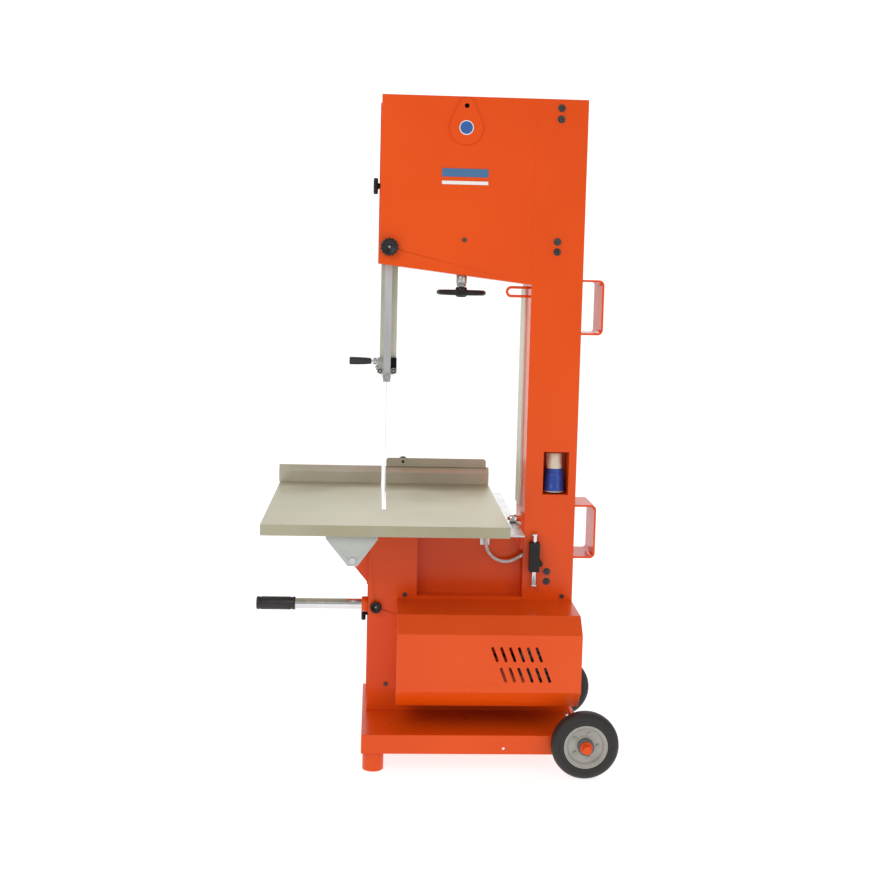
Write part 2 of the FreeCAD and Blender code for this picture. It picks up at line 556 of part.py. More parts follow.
def motor_body():
    """Finned motor case with a foot flange, fan cowl side towards the cover's slots."""
    case = rod("y", MOTOR_RADIUS - 6, MOTOR_FRONT, MOTOR_REAR, MOTOR_X, MOTOR_Z)
    flange = rod("y", MOTOR_RADIUS, MOTOR_REAR - 10, MOTOR_REAR, MOTOR_X, MOTOR_Z)
    fins = []
    for index in range(MOTOR_FINS):
        turn = 2 * math.pi * index / MOTOR_FINS
        fin = box(MOTOR_X - 1.5, MOTOR_X + 1.5, MOTOR_FRONT + 8, MOTOR_REAR - 10,
                  MOTOR_Z + MOTOR_RADIUS - 10, MOTOR_Z + MOTOR_RADIUS)
        fin.rotate(V(MOTOR_X, 0, MOTOR_Z), V(0, 1, 0), math.degrees(turn))
        fins.append(fin)
    body = case.multiFuse([flange] + fins)
    return [body.cut(rod("y", MOTOR_SHAFT + PLAY, MOTOR_REAR - 40, MOTOR_REAR + 1, MOTOR_X, MOTOR_Z))]


def fan_cowl():
    cowl = rod("y", MOTOR_RADIUS - 3, MOTOR_FRONT - 22, MOTOR_FRONT, MOTOR_X, MOTOR_Z)
    rings = [pipe("y", radius + 6, radius, MOTOR_FRONT - 23, MOTOR_FRONT - 14, MOTOR_X, MOTOR_Z)
             for radius in (14, 30, 46)]
    for ring in rings:
        cowl = cowl.cut(ring)
    return [cowl]


def motor_bracket():
    """Plate behind the motor, folded back to the pedestal above and below it."""
    half = MOTOR_RADIUS + 12
    left, right, top, low = MOTOR_X - BRACKET_HALF, MOTOR_X + BRACKET_HALF, MOTOR_Z + half, MOTOR_Z - half
    plate = box(left, right, MOTOR_REAR, MOTOR_REAR + 6, low, top)
    plate = plate.cut(rod("y", MOTOR_SHAFT + 8, MOTOR_REAR - 1, MOTOR_REAR + 7, MOTOR_X, MOTOR_Z))
    upper = box(left, right, MOTOR_REAR, HOUSING_FRONT, top - SHEET, top)
    lower = box(left, right, MOTOR_REAR, HOUSING_FRONT, low, low + SHEET)
    return [fuse(plate, upper, lower)]


def grooved_pulley(groove, x, z, bore):
    wheel = pipe("y", groove + GROOVE_DEPTH, bore, PULLEY_FRONT, PULLEY_REAR, x, z)
    half = BELT_WIDTH / 2 + PLAY
    return wheel.cut(pipe("y", groove + GROOVE_DEPTH + 1, groove, PULLEY_MIDDLE - half,
                          PULLEY_MIDDLE + half, x, z))


def motor_rotor():
    """Motor shaft with the small pulley keyed to it."""
    shaft = rod("y", MOTOR_SHAFT, MOTOR_REAR - 38, PULLEY_REAR + 4, MOTOR_X, MOTOR_Z)
    return [fuse(shaft, grooved_pulley(MOTOR_GROOVE, MOTOR_X, MOTOR_Z, MOTOR_SHAFT - 1))]


def driven_pulley():
    wheel = grooved_pulley(DRIVEN_GROOVE, BAND_X, LOWER_WHEEL_Z, SHAFT_RADIUS)
    for index in range(PULLEY_HOLES):
        turn = 2 * math.pi * index / PULLEY_HOLES
        hole_x = BAND_X + PULLEY_HOLE_REACH * math.cos(turn)
        hole_z = LOWER_WHEEL_Z + PULLEY_HOLE_REACH * math.sin(turn)
        wheel = wheel.cut(rod("y", PULLEY_HOLE_RADIUS, PULLEY_FRONT - 1, PULLEY_REAR + 1, hole_x, hole_z))
    return [wheel]


def drive_belt():
    half = BELT_WIDTH / 2
    return [band_loop(DRIVEN_GROOVE + PLAY, MOTOR_GROOVE + PLAY, (BAND_X, LOWER_WHEEL_Z),
                      (MOTOR_X, MOTOR_Z), BELT_THICK, PULLEY_MIDDLE - half, PULLEY_MIDDLE + half)]


# --- band wheels and blade ------------------------------------------------------------------------
def band_wheel(z, bore):
    """Cast wheel: rim, web with five openings, hub."""
    front, rear = BLADE_Y - BAND_WIDTH / 2, BLADE_Y + BAND_WIDTH / 2
    core = BAND_RADIUS - BAND_TYRE
    rim = pipe("y", core, core - 17, front, rear, BAND_X, z)
    web = rod("y", core - 16, BLADE_Y - 4, BLADE_Y + 4, BAND_X, z)
    hub = rod("y", SHAFT_RADIUS + 20, BLADE_Y - BAND_HUB_LENGTH / 2, BLADE_Y + BAND_HUB_LENGTH / 2,
              BAND_X, z)
    wheel = fuse(rim, web, hub)
    for index in range(BAND_HOLES):
        turn = 2 * math.pi * index / BAND_HOLES + math.pi / 2
        hole_x = BAND_X + BAND_HOLE_REACH * math.cos(turn)
        hole_z = z + BAND_HOLE_REACH * math.sin(turn)
        wheel = wheel.cut(rod("y", BAND_HOLE_RADIUS, BLADE_Y - 5, BLADE_Y + 5, hole_x, hole_z))
    return [wheel.cut(rod("y", bore, BLADE_Y - BAND_HUB_LENGTH, BLADE_Y + BAND_HUB_LENGTH, BAND_X, z))]


def band_tyre(z):
    half = BAND_WIDTH / 2
    return [pipe("y", BAND_RADIUS, BAND_RADIUS - BAND_TYRE, BLADE_Y - half, BLADE_Y + half, BAND_X, z)]


def lower_shaft():
    return [rod("y", SHAFT_RADIUS, PULLEY_FRONT - 2, BLADE_Y + BAND_HUB_LENGTH / 2 + 4,
                BAND_X, LOWER_WHEEL_Z)]


def lower_bearing():
    """Flanged bearing housing inside the pedestal's front wall."""
    face = HOUSING_FRONT + SHEET
    length = BLADE_Y - BAND_HUB_LENGTH / 2 - face - 20
    housing = fuse(rod("y", 45, face, face + 12, BAND_X, LOWER_WHEEL_Z),
                   rod("y", 34, face, face + length, BAND_X, LOWER_WHEEL_Z))
    return [housing.cut(rod("y", SHAFT_RADIUS + FIT, face - 1, face + length + 1, BAND_X, LOWER_WHEEL_Z))]


def blade():
    """Endless blade round both wheels, a little clear of them."""
    radius = BAND_RADIUS + PLAY
    return [band_loop(radius, radius, (BAND_X, LOWER_WHEEL_Z), (BAND_X, UPPER_WHEEL_Z), BLADE_THICK,
                      BLADE_Y - BLADE_WIDTH / 2, BLADE_Y + BLADE_WIDTH / 2)]


def tension_carriage():
    """Sliding block that carries the upper wheel's shaft; the tension screw enters from below."""
    low, high = UPPER_WHEEL_Z - CARRIAGE_HEIGHT / 2, UPPER_WHEEL_Z + CARRIAGE_HEIGHT / 2
    block = box(BAND_X - CARRIAGE_HALF, BAND_X + CARRIAGE_HALF, HOUSING_FRONT + SHEET + 6,
                CARRIAGE_REAR, low, high)
    block = block.cut(rod("z", SCREW_RADIUS + FIT, low - 1, high + 1, BAND_X, SCREW_Y))
    return [block.cut(upper_shaft()[0])]


def upper_shaft():
    far = BLADE_Y + BAND_HUB_LENGTH / 2 + PLAY
    return [fuse(rod("y", SHAFT_RADIUS, CARRIAGE_REAR - 14, far + 4, BAND_X, UPPER_WHEEL_Z),
                 rod("y", SHAFT_RADIUS + 8, far, far + 4, BAND_X, UPPER_WHEEL_Z))]


def carriage_guides():
    """Two lipped rails on the head's front wall."""
    low, high = UPPER_WHEEL_Z - 115, UPPER_WHEEL_Z + 95
    rails = []
    for side in (-1, 1):
        edge = BAND_X + side * (CARRIAGE_HALF + 0.1)
        outer = edge + side * 14
        lip = edge - side * 8
        wall = box(min(edge, outer), max(edge, outer), HOUSING_FRONT + SHEET, CARRIAGE_REAR + 5, low, high)
        hook = box(min(lip, outer), max(lip, outer), CARRIAGE_REAR + 0.1, CARRIAGE_REAR + 5, low, high)
        rails.append(fuse(wall, hook))
    return rails


def disc_springs():
    """Stack of disc springs between the carriage and the collar below it."""
    top = UPPER_WHEEL_Z - CARRIAGE_HEIGHT / 2
    return [pipe("z", 17 if index % 2 else 15, SCREW_RADIUS + PLAY, top - SPRING_PITCH * (index + 1),
                 top - SPRING_PITCH * index, BAND_X, SCREW_Y) for index in range(SPRINGS)]


def tension_screw():
    return [rod("z", SCREW_RADIUS, HANDWHEEL_Z - 14, UPPER_WHEEL_Z + 30, BAND_X, SCREW_Y)]


def tension_handwheel():
    """Ring, dished hub and five spokes."""
    ring = Part.makeTorus(HANDWHEEL_RADIUS, HANDWHEEL_RING, V(BAND_X, SCREW_Y, HANDWHEEL_Z), V(0, 0, 1))
    hub = rod("z", 18.5, HANDWHEEL_Z - 14, HANDWHEEL_Z + 17, BAND_X, SCREW_Y)
    wheel = ring.fuse(hub)
    for index in range(SPOKES):
        spoke = box(BAND_X, BAND_X + HANDWHEEL_RADIUS, SCREW_Y - 7, SCREW_Y + 7,
                    HANDWHEEL_Z - 5, HANDWHEEL_Z + 5)
        spoke.rotate(V(BAND_X, SCREW_Y, 0), V(0, 0, 1), 360 * index / SPOKES + 20)
        wheel = wheel.fuse(spoke)
    return [wheel.cut(rod("z", SCREW_RADIUS, HANDWHEEL_Z - 20, HANDWHEEL_Z + 20, BAND_X, SCREW_Y))]


def tension_nut():
    """Flanged bush welded under the head, in which the screw turns."""
    bush = rod("z", 16, HANDWHEEL_Z + 26, HEAD_BOTTOM_LEFT, BAND_X, SCREW_Y)
    bush = bush.cut(prism_y(head_outline(0), HOUSING_FRONT, HOUSING_REAR))
    return [bush.cut(rod("z", SCREW_RADIUS + FIT, HANDWHEEL_Z, HEAD_BOTTOM_LEFT + 1, BAND_X, SCREW_Y))]


# --- blade guide ----------------------------------------------------------------------------------
def guide_post():
    return [box(POST_LEFT, POST_LEFT + POST_WIDTH, POST_FRONT, POST_REAR, POST_BOTTOM, POST_TOP)]


def post_shield():
    """Channel that covers the blade behind the post; its sides stop below the upper wheel."""
    left, right = BLADE_X - SHIELD_HALF + 6, BLADE_X + SHIELD_HALF
    web_front = POST_REAR
    web = box(left, right, web_front, web_front + SHIELD_SHEET, GUIDE_TOP, POST_TOP - 200)
    sides_top = HEAD_BOTTOM_LEFT + 10
    near = box(left, left + SHIELD_SHEET, web_front, SHIELD_REAR, GUIDE_TOP, sides_top)
    far = box(right - SHIELD_SHEET, right, web_front, SHIELD_REAR, GUIDE_TOP, sides_top)
    return [fuse(web, near, far)]


def post_clamp_block():
    """Guide block in the head: the post slides through it and the clamp knob presses on the post."""
    low, high = CLAMP_Z - 22, CLAMP_Z + 26
    block = box(POST_LEFT - 8, POST_LEFT + POST_WIDTH + 8, HOUSING_FRONT + SHEET, POST_REAR - PLAY,
                low, high)
    hole = box(POST_LEFT - FIT, POST_LEFT + POST_WIDTH + FIT, POST_FRONT - FIT, POST_REAR + 1,
               low - 1, high + 1)
    stud = rod("y", KNOB_STUD + FIT, HOUSING_FRONT, POST_FRONT, BLADE_X, CLAMP_Z)
    return [block.cut(hole).cut(stud)]


def clamp_knob():
    """Lobed knob on the front of the head, with its stud through to the post."""
    handle = knob("y", CLAMP_KNOB, HOUSING_FRONT - 24, HOUSING_FRONT - 8, BLADE_X, CLAMP_Z)
    collar = rod("y", 13, HOUSING_FRONT - 8, HOUSING_FRONT - PLAY, BLADE_X, CLAMP_Z)
    stud = rod("y", KNOB_STUD, HOUSING_FRONT - PLAY, POST_FRONT - PLAY, BLADE_X, CLAMP_Z)
    return [fuse(handle, collar, stud)]


def guide_bracket():
    """Cheeks clamped on both sides of the post, with the rollers' pins and the clamping bolts."""
    pieces = []
    for side in (-1, 1):
        inner, outer = BLADE_X + side * POST_WIDTH / 2, BLADE_X + side * (SHIELD_HALF + 1)
        x0, x1 = min(inner, outer), max(inner, outer)
        cheek = box(x0, x1, POST_FRONT + 3, POST_REAR, POST_BOTTOM + 26, GUIDE_TOP)
        pin = rod("y", ROLLER_PIN, POST_REAR, BLADE_Y + 12, BLADE_X + side * SIDE_REACH, SIDE_Z)
        nut = rod("y", GUIDE_NUT, POST_FRONT - 7, POST_FRONT + 3, outer - side * GUIDE_NUT, SIDE_Z)
        pieces.append(fuse(cheek, pin, nut))
    lever_hole = rod("x", LEVER_RADIUS + FIT, LEVER_TIP - 1, POST_LEFT, LEVER_Y, LEVER_Z)
    pieces[0] = pieces[0].cut(lever_hole)
    pieces.append(rod("y", ROLLER_PIN, POST_REAR, BLADE_Y - BLADE_WIDTH / 2 - 2, BLADE_X, THRUST_Z))
    pieces.append(rod("y", THRUST_RADIUS - 1, POST_FRONT - 6, POST_FRONT, BLADE_X, THRUST_Z))
    return pieces


def thrust_roller():
    """Disc whose face meets the back of the blade."""
    return [pipe("y", THRUST_RADIUS, ROLLER_PIN + FIT, POST_REAR + 1, BLADE_Y - BLADE_WIDTH / 2 - PLAY,
                 BLADE_X, THRUST_Z)]


def side_roller(side):
    start = BLADE_Y - 10
    return [pipe("y", SIDE_RADIUS, ROLLER_PIN + FIT, start, start + 20, BLADE_X + side * SIDE_REACH,
                 SIDE_Z)]


def guide_handle():
    """Threaded lever rod with a plain black grip, screwed into the guide bracket."""
    stem = rod("x", LEVER_RADIUS, LEVER_TIP - 30, POST_LEFT - PLAY, LEVER_Y, LEVER_Z)
    nut = rod("x", LEVER_RADIUS * 2, LEVER_TIP - 12, LEVER_TIP - PLAY, LEVER_Y, LEVER_Z)
    return [fuse(stem, nut)]


def guide_grip():
    end = LEVER_TIP - 18
    grip = rod("x", LEVER_GRIP_RADIUS, end - LEVER_GRIP, end, LEVER_Y, LEVER_Z)
    return [grip.cut(rod("x", LEVER_RADIUS, LEVER_TIP - 30, LEVER_TIP, LEVER_Y, LEVER_Z))]


# --- sliding table --------------------------------------------------------------------------------
def table_plate():
    """Folded plate with a lip all round and the long blade slot, open at the rear."""
    plate = box(TABLE_LEFT, TABLE_RIGHT, TABLE_FRONT, TABLE_REAR, TABLE_TOP - TABLE_LIP, TABLE_TOP)
    hollow = box(TABLE_LEFT + 3, TABLE_RIGHT - 3, TABLE_FRONT + 3, TABLE_REAR - 3,
                 TABLE_TOP - TABLE_LIP - 1, UNDER_TABLE)
    slot = box(BLADE_X - SLOT_WIDTH / 2, BLADE_X + SLOT_WIDTH / 2, SLOT_START, TABLE_REAR + 1,
               TABLE_TOP - TABLE_LIP - 1, TABLE_TOP + 1)
    rebate = box(TABLE_LEFT - 1, TABLE_RIGHT + 1, FENCE_FRONT - PLAY, TABLE_REAR + 1,
                 TABLE_TOP - REBATE, TABLE_TOP + 1)
    return [plate.cut(hollow).cut(slot).cut(rebate)]


def table_frame():
    """Square bars welded under the plate."""
    low = TABLE_TOP - TABLE_LIP
    places = [
        (TABLE_LEFT + 8, TABLE_RIGHT - 8, TABLE_FRONT + 60, TABLE_FRONT + 85),
        (SLIDE_X - 12, SLIDE_X + 12, TABLE_FRONT + 86, TABLE_REAR - 40),
        (TABLE_RIGHT - 40, TABLE_RIGHT - 16, TABLE_FRONT + 86, TABLE_REAR - 10),
        (TABLE_LEFT + 8, TABLE_LEFT + 32, TABLE_FRONT + 86, TABLE_REAR - 10),
    ]
    tubes = []
    for x0, x1, y0, y1 in places:
        tubes.append(box(x0, x1, y0, y1, low, UNDER_TABLE))
    return tubes


def fence():
    """Folded strip that leans back above its knee, split where the blade slot leaves the table.

    Its foot stands in a shallow step along the table's rear edge."""
    low, knee, thick = TABLE_TOP, TABLE_TOP + FENCE_HEIGHT * 0.64, FENCE_SHEET
    y0, y1 = FENCE_FRONT, FENCE_FRONT + FENCE_DEPTH
    outline = [(y0, low - REBATE), (y0, knee), (y1 - 6, FENCE_TOP), (y1, FENCE_TOP),
               (y1, FENCE_TOP - thick), (y1 - 4, FENCE_TOP - thick), (y0 + thick, knee - 2),
               (y0 + thick, low + 3), (TABLE_REAR, low + 3), (TABLE_REAR, low - REBATE)]
    half_slot = SLOT_WIDTH / 2
    return [prism_x(outline, TABLE_LEFT - 4, BLADE_X - half_slot),
            prism_x(outline, BLADE_X + half_slot, TABLE_RIGHT + 3)]


def stop_bar():
    """Angle that slides along the fence's top edge, with rounded upper corners."""
    low = FENCE_TOP + PLAY
    y = FENCE_FRONT + FENCE_DEPTH
    ledge = box(STOP_LEFT, STOP_RIGHT, y - 14, y + 4, low, low + 3)
    face = box(STOP_LEFT, STOP_RIGHT, y + 1, y + 4, low, low + STOP_RISE)
    corners = [edge for edge in face.Edges
               if abs(edge.BoundBox.ZMin - low - STOP_RISE) < 0.1 and edge.BoundBox.XLength < 0.1]
    face = face.makeFillet(10, [edge for edge in corners if edge.BoundBox.YLength > 1])
    lip = box(STOP_LEFT, STOP_LEFT + 110, y + 1, y + 4, low - 24, low)
    bar = fuse(ledge, face, lip)
    return [bar.cut(rod("y", KNOB_STUD + FIT, y, y + 5, STOP_KNOB_X, STOP_KNOB_Z))]


def stop_knob():
    y = FENCE_FRONT + FENCE_DEPTH + 4
    handle = knob("y", SMALL_KNOB, y + 6, y + 18, STOP_KNOB_X, STOP_KNOB_Z)
    neck = rod("y", 9, y + PLAY, y + 6, STOP_KNOB_X, STOP_KNOB_Z)
    return [fuse(handle, neck, rod("y", KNOB_STUD, y - 6, y + 6, STOP_KNOB_X, STOP_KNOB_Z))]


def slide_plates():
    """Triangular end plates under the table that hold the slide shaft."""
    top = TABLE_TOP - TABLE_LIP
    plates = []
    for y in (TABLE_FRONT + 22, TABLE_REAR - 32):
        outline = [(SLIDE_X - 78, top), (SLIDE_X - 78, top - 12), (SLIDE_X - 14, SLIDE_Z - 16),
                   (SLIDE_X + 14, SLIDE_Z - 16), (SLIDE_X + 72, top - 12), (SLIDE_X + 72, top)]
        plate = prism_y(outline, y, y + 5)
        ledge = box(SLIDE_X - 78, SLIDE_X + 72, y, y + 22, top - 4, top)
        plate = fuse(plate, ledge)
        plates.append(plate.cut(rod("y", SLIDE_RADIUS, y - 1, y + 23, SLIDE_X, SLIDE_Z)))
    return plates


def slide_shaft():
    return [rod("y", SLIDE_RADIUS, TABLE_FRONT + 19, TABLE_REAR - 24, SLIDE_X, SLIDE_Z)]


def bearing_places():
    return [HOUSING_FRONT + 22, HOUSING_FRONT + 108]


def bearing_blocks():
    """Two linear bearings that the table's shaft runs through."""
    half = BEARING_SIZE / 2
    blocks = []
    for y in bearing_places():
        block = box(SLIDE_X - half, SLIDE_X + half, y, y + 40, SLIDE_Z - half, SLIDE_Z + half)
        blocks.append(block.cut(rod("y", SLIDE_RADIUS + FIT, y - 1, y + 41, SLIDE_X, SLIDE_Z)))
    brake = rod("x", 6 + FIT, SLIDE_X - half - 1, SLIDE_X - 9, bearing_places()[0] + 20, SLIDE_Z)
    blocks[0] = blocks[0].cut(brake)
    return blocks


def bearing_support():
    """Painted bracket on the pedestal's side under both bearings."""
    low = SLIDE_Z - BEARING_SIZE / 2
    first, last = bearing_places()
    y0, y1 = first - 2, last + 42
    shelf = box(SLIDE_X - 22, PEDESTAL_LEFT, y0, y1, low - 6, low)
    wall = box(PEDESTAL_LEFT - 6, PEDESTAL_LEFT, y0, y1, low - 92, low + 30)
    webs = []
    for y in (y0, y1 - 6):
        outline = [(PEDESTAL_LEFT - 1, low - 90), (PEDESTAL_LEFT - 1, low), (SLIDE_X - 22, low),
                   (SLIDE_X - 22, low - 8)]
        webs.append(prism_y(outline, y, y + 6))
    return [fuse(shelf, wall, *webs)]


def table_brake():
    """Short plated screw with an end cap: turned in, it holds the slide shaft still."""
    y = bearing_places()[0] + 20
    face = SLIDE_X - BEARING_SIZE / 2
    body = rod("x", 8, face - 31, face - PLAY, y, SLIDE_Z)
    stem = rod("x", 6, face - PLAY, SLIDE_X - SLIDE_RADIUS - PLAY, y, SLIDE_Z)
    return [fuse(body, stem, rod("x", 10, face - 31, face - 24, y, SLIDE_Z))]


def table_rail():
    """Angle on the table's right edge that runs between the two rollers."""
    x0 = TABLE_RIGHT
    y0, y1 = TABLE_FRONT + 20, TABLE_REAR - 20
    upright = box(x0, x0 + 5, y0, y1, RAIL_Z, TABLE_TOP - 2)
    flat = box(x0, x0 + RAIL_REACH, y0, y1, RAIL_Z - RAIL_THICK, RAIL_Z)
    return [fuse(upright, flat)]


def roller_x():
    return TABLE_RIGHT + RAIL_REACH - ROLLER_WIDTH - 4


def roller_heights():
    return (RAIL_Z + ROLLER_RADIUS + 0.1, RAIL_Z - RAIL_THICK - ROLLER_RADIUS - 0.1)


def rail_bracket():
    """Painted bracket on the column with the two roller pins."""
    wall = box(COLUMN_LEFT - 8, COLUMN_LEFT, ROLLER_Y - 18, ROLLER_Y + 18, RAIL_Z - 80, RAIL_Z + 30)
    pins = []
    for z in roller_heights():
        pins.append(rod("x", 5, roller_x() - 6, COLUMN_LEFT - 8, ROLLER_Y, z))
        pins.append(rod("x", 9, roller_x() + ROLLER_WIDTH + PLAY, COLUMN_LEFT - 8, ROLLER_Y, z))
    gusset = prism_y([(COLUMN_LEFT - 8, RAIL_Z - 78), (COLUMN_LEFT - 8, RAIL_Z - 34),
                      (COLUMN_LEFT - 30, RAIL_Z - 34)], ROLLER_Y - 4, ROLLER_Y + 4)
    return [fuse(wall, gusset, *pins)]


def rail_roller(index):
    return [pipe("x", ROLLER_RADIUS, 5 + FIT, roller_x(), roller_x() + ROLLER_WIDTH, ROLLER_Y,
                 roller_heights()[index])]


# --- transport handle, hooks, loop ----------------------------------------------------------------
def handle_tube():
    return [pipe("x", HANDLE_RADIUS, HANDLE_RADIUS - 3, HANDLE_OUTER + 6, PEDESTAL_LEFT + 38,
                 HANDLE_Y, HANDLE_Z)]


def handle_grip():
    body = rod("x", GRIP_RADIUS, HANDLE_OUTER, HANDLE_OUTER + GRIP_LENGTH, HANDLE_Y, HANDLE_Z)
    return [body.cut(rod("x", HANDLE_RADIUS, HANDLE_OUTER + 6, HANDLE_OUTER + GRIP_LENGTH + 1,
                         HANDLE_Y, HANDLE_Z))]


def handle_socket():
    collar = rod("x", SOCKET_RADIUS, PEDESTAL_LEFT - SOCKET_LENGTH, PEDESTAL_LEFT, HANDLE_Y, HANDLE_Z)
    return [collar.cut(rod("x", HANDLE_RADIUS + FIT, PEDESTAL_LEFT - SOCKET_LENGTH - 1,
                           PEDESTAL_LEFT + 1, HANDLE_Y, HANDLE_Z))]


def handle_knob():
    tip = HANDLE_Y - HANDLE_RADIUS - PLAY
    handle = knob("y", SMALL_KNOB, HOUSING_FRONT - 20, HOUSING_FRONT - 7, HANDLE_KNOB_X, HANDLE_Z)
    neck = rod("y", 9, HOUSING_FRONT - 7, HOUSING_FRONT - PLAY, HANDLE_KNOB_X, HANDLE_Z)
    stud = rod("y", KNOB_STUD, HOUSING_FRONT - PLAY, tip, HANDLE_KNOB_X, HANDLE_Z)
    return [fuse(handle, neck, stud)]


def cable_hook(low):
    """Flat strip bent to a bracket with rounded corners, welded to the column's side."""
    outer = box(COLUMN_RIGHT, COLUMN_RIGHT + HOOK_REACH, HOOK_FRONT, HOOK_FRONT + HOOK_WIDTH,
                low, low + HOOK_HEIGHT)
    inner = box(COLUMN_RIGHT - 1, COLUMN_RIGHT + HOOK_REACH - HOOK_SHEET, HOOK_FRONT,
                HOOK_FRONT + HOOK_WIDTH, low + HOOK_SHEET, low + HOOK_HEIGHT - HOOK_SHEET)

    def bends(shape, x):
        return [edge for edge in shape.Edges
                if edge.BoundBox.YLength > 10 and abs(edge.BoundBox.XMax - x) < 0.1]

    outer = outer.makeFillet(16, bends(outer, COLUMN_RIGHT + HOOK_REACH))
    inner = inner.makeFillet(16 - HOOK_SHEET, bends(inner, COLUMN_RIGHT + HOOK_REACH - HOOK_SHEET))
    return [outer.cut(inner)]


def tool_loop():
    """Bent rod on the table side of the column, under the head."""
    y, half, reach = HOUSING_FRONT + 32, 13.0, 56.0
    z = HEAD_BOTTOM_RIGHT - 22
    x = COLUMN_LEFT - reach
    path = Part.Wire([
        Part.makeLine(V(COLUMN_LEFT, y, z + half), V(x, y, z + half)),
        Part.Arc(V(x, y, z + half), V(x - half, y, z), V(x, y, z - half)).toShape(),
        Part.makeLine(V(x, y, z - half), V(COLUMN_LEFT, y, z - half)),
    ])
    return [tube_along(path, 4, V(1, 0, 0))]


# --- power inlet, hose, lock, switches ------------------------------------------------------------
def inlet_body():
    """Pale upper half of the power inlet, screwed to the back of its pocket."""
    top = POCKET_TOP - 6
    block = box(INLET_X - 24, INLET_X + 24, INLET_Y - 26, HOUSING_FRONT + POCKET_DEPTH, top - 48, top)
    upright = [edge for edge in block.Edges
               if edge.BoundBox.ZLength > 10 and edge.BoundBox.YMax < INLET_Y]
    return [block.makeFillet(10, upright)]


def inlet_collar():
    """Blue socket ring that points down, with its three pins inside."""
    top, low = POCKET_TOP - 54, POCKET_BOTTOM + 5
    ring = rod("z", INLET_RADIUS, low, top, INLET_X, INLET_Y)
    ring = ring.cut(rod("z", INLET_RADIUS - 4, low - 1, top - 14, INLET_X, INLET_Y))
    pins = []
    for index in range(3):
        turn = 2 * math.pi * index / 3 + math.pi / 2
        pins.append(rod("z", 3.5, low + 18, top - 14, INLET_X + 14 * math.cos(turn),
                        INLET_Y + 14 * math.sin(turn)))
    return [ring.multiFuse(pins)]


def hose_path():
    return rounded_path(HOSE_POINTS)


def hose_tube(wire):
    start = V(*HOSE_POINTS[1]) - V(*HOSE_POINTS[0])
    return tube_along(wire, HOSE_RADIUS, start)


def hose():
    wire, radii = hose_path()
    tube = hose_tube(wire)
    ideal = math.pi * HOSE_RADIUS ** 2 * wire.Length
    print("hose length", round(wire.Length, 1), "radii", [round(radius, 1) for radius in radii],
          "volume share", round(tube.Volume / ideal, 3))
    return [tube]


def hose_glands():
    """Nuts at both ends of the hose; the upper one hangs from a small bracket on the pedestal."""
    x, y, z = HOSE_POINTS[0]
    nut = rod("z", 9, z, z + 8, x, y)
    shelf = box(x - 14, x + 14, y - 12, HOUSING_FRONT + RECESS_DEPTH, z + 8, z + 11)
    tab = box(x - 14, x + 14, HOUSING_FRONT + RECESS_DEPTH - 3, HOUSING_FRONT + RECESS_DEPTH,
              PEDESTAL_TOP - 30, z + 8)
    end = V(*HOSE_POINTS[-1])
    heading = (end - V(*HOSE_POINTS[-2])).normalize()
    gland = Part.makeCylinder(9, 30, end, heading)
    gland = gland.common(box(0, COLUMN_LEFT, 0, HOUSING_REAR, 0, OVERALL_TOP))
    return [fuse(nut, shelf, tab).cut(hose_tube(hose_path()[0])), gland]


def lock_body():
    """Black guide for the table lock's sliding rod."""
    block = box(LOCK_X - 15, LOCK_X + 15, LOCK_Y - 12, HOUSING_FRONT, 552, 640)
    bump = rod("y", 9, LOCK_Y - 6, HOUSING_FRONT, LOCK_X + 17, 576)
    body = fuse(block, bump)
    return [body.cut(rod("z", LOCK_RADIUS + FIT, 540, 650, LOCK_X, LOCK_Y))]


def lock_rod():
    stem = rod("z", LOCK_RADIUS, 512, 662, LOCK_X, LOCK_Y)
    return [fuse(stem, rod("z", LOCK_RADIUS + 3, 506, 512, LOCK_X, LOCK_Y),
                 rod("z", LOCK_RADIUS + 2, 662, 668, LOCK_X, LOCK_Y))]


def switch_box():
    """Starter box on the operator's side of the column, with wells for its two buttons."""
    body = box(SWITCH_X - SWITCH_HALF, SWITCH_X + SWITCH_HALF, HOUSING_REAR, HOUSING_REAR + SWITCH_DEPTH,
               SWITCH_Z - SWITCH_HEIGHT / 2, SWITCH_Z + SWITCH_HEIGHT / 2)
    body = body.makeFillet(5, [edge for edge in body.Edges if edge.BoundBox.YMin > HOUSING_REAR + 1])
    for side in (-1, 1):
        body = body.cut(rod("y", BUTTON_RADIUS + PLAY, HOUSING_REAR + SWITCH_DEPTH - BUTTON_WELL,
                            HOUSING_REAR + SWITCH_DEPTH + 1, SWITCH_X, SWITCH_Z + side * BUTTON_SPREAD))
    return [body]


def switch_button(side):
    face = HOUSING_REAR + SWITCH_DEPTH
    reach = 6.0 if side < 0 else 3.0
    return [rod("y", BUTTON_RADIUS, face - BUTTON_WELL + BUTTON_TRAVEL + PLAY, face + reach, SWITCH_X,
                SWITCH_Z + side * BUTTON_SPREAD)]


# --- write every piece ----------------------------------------------------------------------------
def band_wheel_pieces(z, bore):
    return band_wheel(z, bore) + band_tyre(z)


